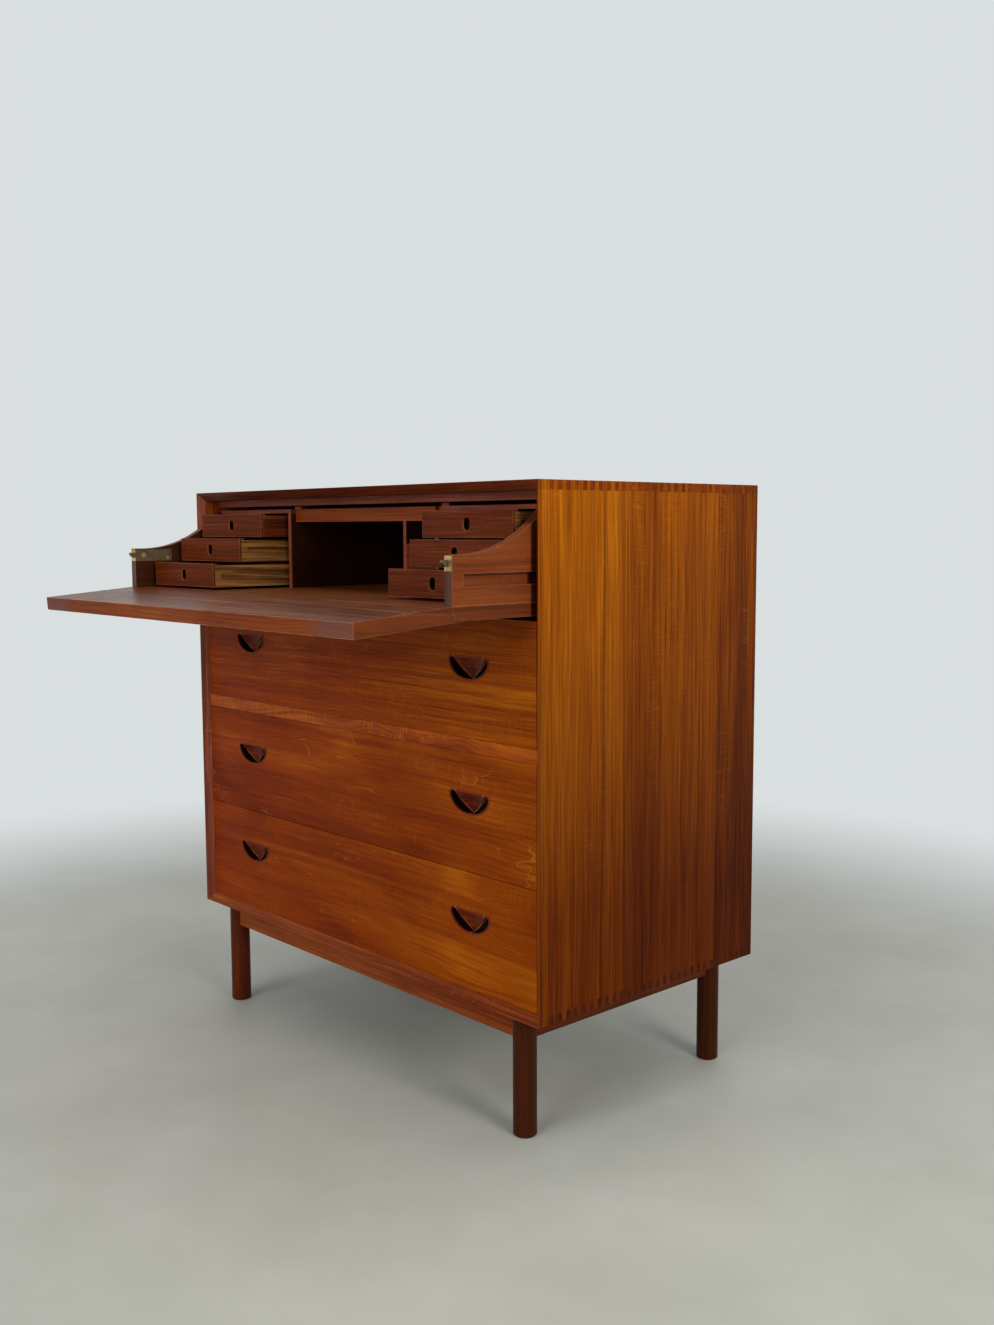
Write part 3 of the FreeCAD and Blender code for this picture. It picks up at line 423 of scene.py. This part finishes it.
        # Painted highlights along the tongue's arrises
        arris = self.math("MULTIPLY", self.between(self.off(aside, half), *TONGUE_ARRIS_WIDTHS),
                          self.math("LESS_THAN", self.y, PULL_FACE + TONGUE_DEPTH))
        self.lay("MIX", self.math("MULTIPLY", arris, TONGUE_STRENGTH), TONGUE_HIGHLIGHT)

    def finish(self, rough, specular):
        """The oiled surface: its colour, a sheen that varies with handling, and its relief."""
        self.feed(self.shader.inputs["Base Color"], self.colour)
        handled = self.noise(self.place, *HANDLED)
        sheen = self.between(handled, *HANDLED_SHOWS, rough - SMOOTHER, rough + ROUGHER)
        open_grain = self.math("ADD", self.pore, self.end_grain)
        dull = self.math("MULTIPLY", open_grain, PORE_ROUGHNESS)
        self.feed(self.shader.inputs["Roughness"], self.math("ADD", sheen, dull))
        self.shader.inputs["Specular IOR Level"].default_value = specular
        self.shader.inputs["Specular Tint"].default_value = SHEEN_TINT
        relief = self.math("ADD", self.math("MULTIPLY", self.lines, LINE_RELIEF),
                           self.math("MULTIPLY", self.pores, PORE_RELIEF))
        self.bump(relief, *WOOD_RELIEF)
        return self.material


def wood(name, tones, along="X", across="Z", figure=0.3, streak=1.0, fleck=0.3, rough=0.42,
         seed=0.0, staves=(), patches=0.3, scuffs=0.0, stains=0.0, pull_top=None,
         dull_ends=None, low_shade=None, joints=None, case_shadow=None, redden=None,
         arris_wear_and_highlight=0.0, specular=0.12):
    """Oiled wood: bands and fine lines along the grain, ray fleck across it, pores, sheen.

    tones holds four colours, from the dark veins to the lightest wood. along is the grain's
    axis and across the wide way of the board's face. figure bends the lines into swirls.
    streak, fleck and patches are how strong the lines, the ray ticks and the clouds of
    another tone are. rough is the roughness, and seed moves the grain, so that boards differ.
    Each of the staves starts at a place along the across axis and has a tone of its own.
    scuffs and stains are how clear these marks are, and arris_wear_and_highlight is how pale
    the arrises are, with abrasion and a painted highlight.
    dull_ends holds how far out along X the wood starts to dull, and where it is dullest.
    low_shade holds the level where painted shade, darker towards the bottom as light from
    above falls off, is darkest and, higher up, the one where the wood has its own colour.
    joints is the level above which the wood is dark with dirt in its joints.
    redden holds the places along X where the wood is reddest and where it is most golden.
    case_shadow holds the places along Y between which painted shadow darkens the wood,
    which lies inside the case past them, in the shade of its side. pull_top is the level
    of a pull's upper edge.
    """
    look = Wood(name, tones, along, across, seed, staves)
    look.draw_figure(figure, streak, patches)
    look.draw_pores(streak)
    look.draw_rays(fleck)
    look.draw_end_grain()
    if scuffs:
        look.draw_scuffs(scuffs)
    if stains:
        look.draw_stains(stains)
    if dull_ends:
        look.dull_ends(*dull_ends)
    if low_shade:
        look.paint_low_shade(*low_shade)
    if joints:
        look.darken_joints(joints)
    if redden:
        look.redden(*redden)
    if case_shadow:
        look.paint_case_shadow(*case_shadow)
    if arris_wear_and_highlight:
        look.pale_worn_and_lit_arrises(arris_wear_and_highlight)
    if pull_top is not None:
        look.paint_pull_shade_and_highlights(pull_top)
    return look.finish(rough, specular)


# Brass

BRASS_SPOTS = (60.0, 3.0, 0.6)
TARNISH_SHOWS = (0.40, 0.72)
TARNISH_ROUGHNESS = 0.12
BRUSHED = (900.0, 60.0, 900.0)
BRASS_RELIEF = (0.06, 0.0001)


def metal(name, colour, tarnish, rough):
    """Old brass: brushed, with darker tarnish where it isn't touched."""
    g = Graph(name)
    spots = g.noise(g.place, *BRASS_SPOTS)
    fine = g.noise(g.vector_math("MULTIPLY", g.place, BRUSHED), 1.0, 1.0, 0.5)
    amount = g.between(spots, *TARNISH_SHOWS)
    g.feed(g.shader.inputs["Base Color"], g.mix("MIX", amount, colour, tarnish))
    g.shader.inputs["Metallic"].default_value = 1.0
    dull = g.between(spots, *HANDLED_SHOWS, rough, rough + TARNISH_ROUGHNESS)
    g.feed(g.shader.inputs["Roughness"], dull)
    g.bump(fine, *BRASS_RELIEF)
    return g.material


# Tones of the woods, from the dark veins to the lightest wood

def palette(*colours):
    return [linear(*colour) for colour in colours]


SIDE = palette((90, 37, 2), (125, 60, 3), (147, 77, 4), (177, 104, 14))
FRONT = palette((88, 24, 1), (116, 40, 1), (138, 57, 2), (170, 86, 8))
EDGE = palette((74, 24, 8), (106, 42, 12), (128, 58, 18), (154, 80, 32))
PINK = palette((66, 26, 18), (98, 44, 32), (120, 60, 44), (146, 84, 64))
RED = palette((64, 24, 10), (93, 41, 16), (113, 54, 23), (142, 76, 40))
SMALL = palette((43, 13, 5), (69, 24, 9), (89, 36, 15), (116, 54, 27))
TRAY = palette((46, 14, 4), (72, 25, 6), (92, 36, 9), (122, 56, 19))
NOSE = palette((68, 23, 6), (98, 40, 9), (119, 54, 14), (146, 76, 28))
END = palette((54, 20, 9), (79, 34, 13), (97, 45, 19), (124, 64, 32))
DESK = palette((52, 22, 9), (80, 36, 14), (99, 48, 21), (136, 78, 42))
# A dark copy of teak, which paints shade inside the case and on the wings' inner faces
DARK = palette((28, 9, 5), (46, 17, 9), (62, 25, 13), (86, 38, 22))
LEG = palette((38, 12, 4), (60, 21, 7), (76, 29, 10), (100, 42, 16))
# The leg wood darkened with painted shade
SHADED_LEG = palette((26, 8, 3), (42, 14, 5), (54, 20, 7), (74, 30, 12))
PULL = palette((44, 9, 3), (72, 19, 6), (93, 31, 10), (124, 54, 24))
# Grey-brown tones: a painted sheen over the wood
WING_END_SHEEN = palette((40, 24, 20), (64, 42, 36), (84, 58, 50), (108, 80, 70))
# Near black: painted shade in the finger holes
HOLE_SHADE = palette((10, 5, 4), (10, 5, 4), (16, 8, 6), (16, 8, 6))
OAK = palette((48, 25, 10), (96, 58, 26), (126, 83, 42), (164, 120, 70))

# A stave that starts here takes in the whole board, so it changes the tone of all of it
WHOLE = -1.0


# Looks of the case

# The case's sides are glued from staves, which meet at these distances from the front edge
SIDE_STAVES = [(CASE_FRONT + reach, change) for reach, change in (
    (WHOLE, 0.10), (0.1815, -0.26), (0.2585, 0.08), (0.3947, -0.22))]

# The sides darken towards the bottom with painted shade
side_wood = wood("teak_side", SIDE, "Z", "Y", figure=0.03, fleck=0.25, rough=0.42,
                 staves=SIDE_STAVES, patches=0.12, low_shade=(DARKEST_LEVEL, CASE_TOP),
                 joints=CASE_TOP - BOARD, specular=0.06)
edge_wood = wood("teak_case_edge", EDGE, "Z", "Y", figure=0.05, rough=0.44, seed=3.6)
top_wood = wood("teak_top", FRONT, "X", "Y", figure=0.15, rough=0.40, seed=3.1)
# The top's downward faces take a darker wood, as painted shade under it
shaded_top_underside_wood = wood("teak_top_underside_shaded", SMALL, "X", "Y", figure=0.05, rough=0.44, seed=3.3)
# The bottom board is darkened with painted shade, to go with the painted shade low on the sides
shaded_bottom_board_wood = wood("teak_bottom_shaded", LEG, "X", "Y", figure=0.1, rough=0.44, seed=3.7)
back_wood = wood("teak_back", RED, "Z", "X", figure=0.4, rough=0.5, seed=1.7)
rail_wood = wood("teak_rail", FRONT, "X", "Z", figure=0.6, streak=0.9, fleck=1.0,
                 rough=0.42, seed=0.6, staves=((WHOLE, 0.12),))
kicker_wood = wood("teak_kicker", PINK, "X", "Z", figure=0.1, rough=0.45, seed=2.2)
runner_wood = wood("oak_runner", OAK, "Y", "Z", figure=0.05, rough=0.5, seed=2.6)


# Looks of the legs and base

leg_wood = wood("teak_leg", LEG, "Z", "X", figure=0.05, streak=0.7, rough=0.40, seed=1.1)
# The right-hand legs take a darker copy of the leg wood, as painted shade
shaded_leg_wood = wood("teak_shaded_leg", SHADED_LEG, "Z", "X", figure=0.05, streak=0.7,
                     rough=0.40, seed=1.4)
base_wood_long = wood("teak_base_long", EDGE, "X", "Z", figure=0.05, rough=0.42, seed=6.1)
base_wood_short = wood("teak_base_short", LEG, "Y", "Z", figure=0.05, rough=0.42, seed=6.4)


# Looks of the large drawers

FRONT_GRAINS = {
    "lower": {"figure": 0.14, "streak": 0.55, "seed": 1.3, "patches": 0.5, "stains": 0.25},
    "middle": {"figure": 0.10, "streak": 0.6, "seed": 4.7, "patches": 0.5, "stains": 0.45},
    "upper": {"figure": 0.04, "streak": 0.85, "seed": 7.9, "patches": 0.3, "stains": 0.2},
}
front_looks = {
    row: wood(f"teak_front_{row}", FRONT, "X", "Z", fleck=0.2, rough=0.40, redden=FRONT_SPAN,
              specular=0.05, **grain)
    for row, grain in FRONT_GRAINS.items()
}
# Pulls with painted shade in their pockets and painted highlights on their rims and tongues
pull_looks = {
    row: wood(f"teak_pull_{row}", PULL, "X", "Z", figure=0.05, streak=0.9, rough=0.36,
              seed=seed, pull_top=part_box(f"drawer_{row}_pulls")[1][2], specular=0.05)
    for row, seed in (("lower", 0.2), ("middle", 0.5), ("upper", 0.8))
}
box_wood = wood("oak_box", OAK, "Y", "Z", figure=0.1, streak=1.4, fleck=0.1, rough=0.5,
                seed=4.2)
box_end_wood = wood("oak_box_end", OAK, "X", "Z", figure=0.1, streak=1.2, fleck=0.1,
                    rough=0.5, seed=4.6)
bottom_wood = wood("oak_bottom", OAK, "X", "Y", figure=0.3, rough=0.55, seed=3.9)


# Looks of the desk drawer and its flap

def in_groove(face):
    """Whether a face of a wing is the upright face of the groove in its outer side."""
    return (abs(face.normal.x) > SQUARE and face.area > GROOVE_AREA
            and WING_INNER + MARGIN < abs(face.center.x) < WING_OUTER - MARGIN)


def groove_top():
    """The level of the upper edge of the grooves in the wings."""
    mesh = nodes["wing_right"].data
    return max(mesh.vertices[corner].co.z for face in mesh.polygons if in_groove(face)
               for corner in face.vertices)


desk_wood = wood("teak_desk_top", DESK, "X", "Y", figure=0.06, streak=1.1, rough=0.31,
                 seed=5.5, scuffs=0.6, arris_wear_and_highlight=0.7, specular=0.14)
# The desk drawer's ends, wings and grooves darken with painted shadow inside the case
desk_end_wood = wood("teak_desk_end", END, "Y", "Z", figure=0.1, streak=0.7, rough=0.44,
                     seed=2.4, case_shadow=CASE_SHADOW_SPAN, arris_wear_and_highlight=0.25)
flap_edge_wood = wood("teak_flap_edge", NOSE, "X", "Z", figure=0.1, streak=0.8, rough=0.42,
                      seed=5.9, dull_ends=DULL_FLAP, arris_wear_and_highlight=0.8, specular=0.06)
flap_face_wood = wood("teak_flap_face", FRONT, "X", "Y", figure=0.08, streak=0.7, fleck=0.2,
                      rough=0.40, seed=6.7, patches=0.4, arris_wear_and_highlight=0.3, specular=0.05)
wing_wood = wood("teak_wing", RED, "Y", "Z", figure=0.2, streak=0.6, rough=0.44, seed=2.7,
                 case_shadow=CASE_SHADOW_SPAN, arris_wear_and_highlight=0.3)
# The groove's upright face, darkest along its top with a painted shadow of its upper wall
groove_shadow_wood = wood("teak_groove_shadowed", RED, "Y", "Z", figure=0.2, streak=0.6, rough=0.44, seed=2.7,
                   staves=((groove_top() - GROOVE_SHADOW_LINE, -1.0),), case_shadow=CASE_SHADOW_SPAN)
# The wings' front ends are greyed with a painted sheen
wing_end_sheen_wood = wood("teak_wing_end_sheen", WING_END_SHEEN, "Z", "X", figure=0.1, rough=0.44, seed=2.1)
# The wings' inner faces are darkened with painted shade
shaded_wing_inner_wood = wood("teak_wing_inner_shaded", DARK, "Y", "Z", figure=0.2, streak=0.8, rough=0.46,
                       seed=2.9)
# Inner parts of the case are darkened with painted shade
shaded_inner_wood = wood("teak_inner", DARK, "Z", "Y", figure=0.1, streak=0.5, fleck=0.1, rough=0.48,
                  seed=8.3, staves=((WHOLE, -0.25),), patches=0.15)
inner_edge_wood = wood("teak_inner_edge", PINK, "Z", "X", figure=0.05, rough=0.46, seed=8.6)
ledge_wood = wood("teak_ledge", PINK, "X", "Z", figure=0.05, rough=0.46, seed=8.9)
fascia_wood = wood("teak_fascia", EDGE, "X", "Z", figure=0.1, streak=0.7, rough=0.42, seed=0.9)
brass = metal("old_brass", linear(214, 184, 120), linear(140, 112, 64), 0.30)
worn_brass = metal("worn_brass", linear(120, 106, 78), linear(66, 58, 42), 0.34)


# Looks of the small drawers

small_wood = wood("teak_small_front", SMALL, "X", "Z", figure=0.12, streak=0.9, rough=0.40,
                  seed=9.1, arris_wear_and_highlight=0.35, specular=0.07)
red_small_wood = wood("teak_small_front_red", TRAY, "X", "Z", figure=0.12, streak=0.7,
                      rough=0.40, seed=9.9, arris_wear_and_highlight=0.5, specular=0.05)
# The finger holes' walls are blackened with painted shade
hole_shade_wood = wood("teak_hole", HOLE_SHADE, "X", "Z", rough=0.6, seed=9.4)
# The finger holes' rims are paler, with abrasion and a painted highlight
hole_rim_abraded_and_lit_wood = wood("teak_hole_rim", SMALL, "X", "Z", streak=0.5, rough=0.42, seed=9.6,
                     staves=((WHOLE, 0.3),))
# The left high drawer's box takes a darker teak, as painted shade inside the case
shaded_high_box_wood = wood("teak_box_shaded", SMALL, "Y", "Z", figure=0.1, streak=1.5, rough=0.5, seed=4.9)


# The look of each node, where its name alone doesn't tell it

LOOKS = {
    "side_panel_left": side_wood, "side_panel_right": side_wood,
    "top_panel": top_wood, "bottom_panel": shaded_bottom_board_wood,
    "back_panel": back_wood, "desk_back": shaded_inner_wood,
    "middle_rail": rail_wood, "desk_kicker": kicker_wood,
    "drawer_runners": runner_wood, "desk_runners": runner_wood,
    "small_drawer_runners": runner_wood,
    "base_rails_long": base_wood_long, "base_rails_short": base_wood_short,
    "desk_board": desk_wood, "fall_flap": desk_wood,
    "wing_left": wing_wood, "wing_right": wing_wood,
    "column_panel_left": shaded_inner_wood, "column_panel_right": shaded_inner_wood,
    "column_tops": ledge_wood, "compartment_rail": fascia_wood, "compartment_top": top_wood,
    "compartment_partition": shaded_inner_wood, "pen_board": small_wood,
    "latch_bolt_left": worn_brass, "latch_bolt_right": worn_brass,
    "small_drawer_left_high_box": shaded_high_box_wood,
}


def look_of(name):
    """The material that a CAD node gets."""
    if name in LOOKS:
        return LOOKS[name]
    if name.startswith("leg_"):
        # The right-hand legs get painted shade
        return leg_wood if name.endswith("_left") else shaded_leg_wood
    if name.startswith(("hinge_", "flap_")):
        return worn_brass
    if name.startswith("latch_"):
        return brass
    if name.startswith("small_drawer") and name.endswith("_front"):
        return red_small_wood if "_left_" in name else small_wood
    row = name.split("_")[1]
    if name.endswith("_front"):
        return front_looks[row]
    if name.endswith("_pulls"):
        return pull_looks[row]
    return bottom_wood if name.endswith("_bottom") else box_wood


# Tests for faces that look unlike the rest of their node

def toward(direction, least):
    """A test for faces whose normal points in a direction, such as -Y, by more than least."""
    sign = -1 if direction.startswith("-") else 1
    axis = AXES[direction[-1]]
    return lambda face: sign * face.normal[axis] > least


def either_way(axis, least):
    """A test for faces whose normal points either way along an axis by more than least."""
    return lambda face: abs(face.normal[AXES[axis]]) > least


def left_bevel(face):
    """Whether a face of the left side is its front edge or the bevel beside it."""
    return face.normal.y < -SLANTED < face.normal.x


def flap_edge(face):
    """Whether a face of the flap is one of its narrow ones, along its length."""
    return abs(face.normal.z) < FLAP_FACE


def inside_wings(face):
    """Whether a face of a latch bolt is between the wings, as those of its knob are."""
    return abs(face.center.x) < WING_INNER


def hole_looks(front):
    """The looks for a finger hole's wall, near black with painted shade, and its eased rim,
    paler with abrasion and a painted highlight.
    """
    low, high = (Vector(corner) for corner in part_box(front))
    middle = (low + high) / 2

    def in_hole(face):
        offset = face.center - middle
        return math.hypot(offset.x, offset.z) < HOLE_REACH and abs(face.normal.y) < HOLE_WALL

    return [(lambda face: in_hole(face) and face.normal.y < HOLE_RIM, hole_rim_abraded_and_lit_wood),
            (in_hole, hole_shade_wood)]


# Tests of a node's faces, each with its look: the first test that a face passes counts
MORE_LOOKS = {
    # The left side's front edge and bevel take a darker, pinker wood than the right's, as painted
    # shade and sheen
    "side_panel_left": [(left_bevel, inner_edge_wood), (toward("X", SLANTED), edge_wood)],
    "side_panel_right": [(toward("-X", SLANTED), edge_wood)],
    "top_panel": [(toward("-Z", SLANTED), shaded_top_underside_wood)],
    "bottom_panel": [(toward("-Y", SLANTED), base_wood_long)],
    "column_panel_left": [(toward("-Y", TURNED), inner_edge_wood)],
    "column_panel_right": [(toward("-Y", TURNED), inner_edge_wood)],
    "compartment_partition": [(toward("-Y", TURNED), inner_edge_wood)],
    "wing_left": [(toward("X", TURNED), shaded_wing_inner_wood), (toward("-Y", SQUARE), wing_end_sheen_wood),
                  (in_groove, groove_shadow_wood)],
    "wing_right": [(toward("-X", TURNED), shaded_wing_inner_wood), (toward("-Y", SQUARE), wing_end_sheen_wood),
                   (in_groove, groove_shadow_wood)],
    "desk_board": [(either_way("X", SQUARE), desk_end_wood)],
    "fall_flap": [(either_way("X", SQUARE), desk_end_wood), (flap_edge, flap_edge_wood),
                  (toward("-Z", FLAP_FACE), flap_face_wood)],
    "latch_plates": [(either_way("X", TURNED), worn_brass)],
    "latch_bolt_left": [(inside_wings, brass)],
    "latch_bolt_right": [(inside_wings, brass)],
}
for name in nodes:
    if name.startswith("small_drawer") and name.endswith("_front"):
        MORE_LOOKS[name] = hole_looks(name)
    if name.endswith("_box"):
        MORE_LOOKS[name] = [(either_way("Y", SQUARE), box_end_wood)]


for name, node in nodes.items():
    mesh = node.data
    if not mesh.materials:
        mesh.materials.append(None)
    mesh.materials[0] = look_of(name)
    more = MORE_LOOKS.get(name, [])
    for _, look in more:
        mesh.materials.append(look)
    for face in mesh.polygons:
        passed = [slot for slot, (test, _) in enumerate(more, start=1) if test(face)]
        face.material_index = passed[0] if passed else 0


# Floor and backdrop, which aren't part of the object

BACKDROP = (0.70, 0.735, 0.745, 1.0)
FLOOR_DARK = (0.38, 0.38, 0.33)
FLOOR_LIGHT = (0.47, 0.47, 0.42)
FLOOR_CLOUDS = (2.2, 5.0, 0.62)
CLOUDS_SHOW = (0.3, 0.7)
FLOOR_ROUGHNESS = 0.6
FLOOR_FADE = (1.1, 2.4)
FLOOR_HALF = 30.0


def floor_material():
    """A pale, faintly clouded floor that fades far off into the backdrop's colour."""
    g = Graph("pale_floor")
    clouds = g.between(g.noise(g.place, *FLOOR_CLOUDS), *CLOUDS_SHOW)
    g.feed(g.shader.inputs["Base Color"], g.mix("MIX", clouds, FLOOR_DARK, FLOOR_LIGHT))
    g.shader.inputs["Roughness"].default_value = FLOOR_ROUGHNESS
    far = g.add("ShaderNodeEmission")
    far.inputs["Color"].default_value = BACKDROP
    x, y, _ = g.split(g.place)
    reach = g.math("SQRT", g.math("ADD", g.math("MULTIPLY", x, x), g.math("MULTIPLY", y, y)))
    blend = g.add("ShaderNodeMixShader")
    g.feed(blend.inputs[0], g.between(reach, *FLOOR_FADE, smooth=True))
    g.feed(blend.inputs[1], g.shader.outputs[0])
    g.feed(blend.inputs[2], far.outputs[0])
    g.feed(g.tree.nodes["Material Output"].inputs["Surface"], blend.outputs[0])
    return g.material


def add_floor():
    mesh = bpy.data.meshes.new("floor")
    corners = [(x * FLOOR_HALF, y * FLOOR_HALF, 0)
               for x, y in ((-1, -1), (1, -1), (1, 1), (-1, 1))]
    mesh.from_pydata(corners, [], [range(len(corners))])
    mesh.materials.append(floor_material())
    obj = bpy.data.objects.new("floor", mesh)
    scene.collection.objects.link(obj)


add_floor()


# Light: a window to the right, a wide fill in front, a soft ceiling and pale surroundings

SURROUNDINGS = (0.86, 0.90, 0.92, 1.0)
SURROUNDINGS_STRENGTH = 0.42

# Each lamp's name, place, target, size, power and colour
LAMPS = [
    ("window", (3.4, -0.3, 1.3), (0.4, 0.1, 0.7), (1.0, 1.0), 64.0, (1.0, 0.99, 0.96)),
    ("fill", (0.9, -4.6, 2.0), (0, 0, 0.5), (3.0, 2.2), 120.0, (0.98, 0.99, 1.0)),
    ("ceiling", (0.2, -0.4, 4.4), (0, 0, 0), (4.5, 4.5), 80.0, (1.0, 1.0, 1.0)),
]


def area_light(name, place, target, size, power, colour):
    light = bpy.data.lights.new(name, "AREA")
    light.shape = "RECTANGLE"
    light.size, light.size_y = size
    light.energy = power
    light.color = colour
    obj = bpy.data.objects.new(name, light)
    scene.collection.objects.link(obj)
    turn = (Vector(target) - Vector(place)).to_track_quat("-Z", "Y")
    obj.matrix_world = Matrix.Translation(place) @ turn.to_matrix().to_4x4()


def add_world():
    """Soft light from all sides, with the backdrop's own colour where it is seen."""
    world = bpy.data.worlds.new("studio")
    scene.world = world
    world.use_nodes = True
    tree = world.node_tree
    tree.nodes.clear()
    out = tree.nodes.new("ShaderNodeOutputWorld")
    mix = tree.nodes.new("ShaderNodeMixShader")
    rays = tree.nodes.new("ShaderNodeLightPath")
    backgrounds = []
    for colour, strength in ((SURROUNDINGS, SURROUNDINGS_STRENGTH), (BACKDROP, 1.0)):
        background = tree.nodes.new("ShaderNodeBackground")
        background.inputs["Color"].default_value = colour
        background.inputs["Strength"].default_value = strength
        backgrounds.append(background)
    seen = rays.outputs["Is Camera Ray"]
    for kind in ("Is Glossy Ray", "Is Transmission Ray"):
        either = tree.nodes.new("ShaderNodeMath")
        either.operation = "MAXIMUM"
        tree.links.new(seen, either.inputs[0])
        tree.links.new(rays.outputs[kind], either.inputs[1])
        seen = either.outputs[0]
    for source, socket in zip((seen, *(node.outputs[0] for node in backgrounds)), mix.inputs):
        tree.links.new(source, socket)
    tree.links.new(mix.outputs[0], out.inputs[0])


for lamp in LAMPS:
    area_light(*lamp)
add_world()
scene.view_settings.view_transform = "Standard"


# Camera: where the photograph was taken from

SENSOR = 36
FOCAL_PIXELS = 1331.07
PHOTO_HEIGHT = 1325
AZIMUTH = math.radians(47.676)
PITCH = math.radians(5.804)
ROLL = math.radians(-0.25)
STAND = Vector((1.7783, CASE_FRONT - 1.2779, 0.9005))


def add_camera():
    data = bpy.data.cameras.new("camera")
    data.sensor_fit = "VERTICAL"
    data.sensor_height = SENSOR
    data.lens = FOCAL_PIXELS / PHOTO_HEIGHT * SENSOR
    camera = bpy.data.objects.new("camera", data)
    scene.collection.objects.link(camera)
    scene.camera = camera
    forward = Vector((-math.sin(AZIMUTH) * math.cos(PITCH), math.cos(AZIMUTH) * math.cos(PITCH),
                      -math.sin(PITCH)))
    right = Vector((math.cos(AZIMUTH), math.sin(AZIMUTH), 0))
    up = right.cross(forward)
    turned_right = math.cos(ROLL) * right + math.sin(ROLL) * up
    turned_up = math.cos(ROLL) * up - math.sin(ROLL) * right
    axes = Matrix((turned_right, turned_up, -forward)).transposed().to_4x4()
    camera.matrix_world = Matrix.Translation(STAND) @ axes


add_camera()
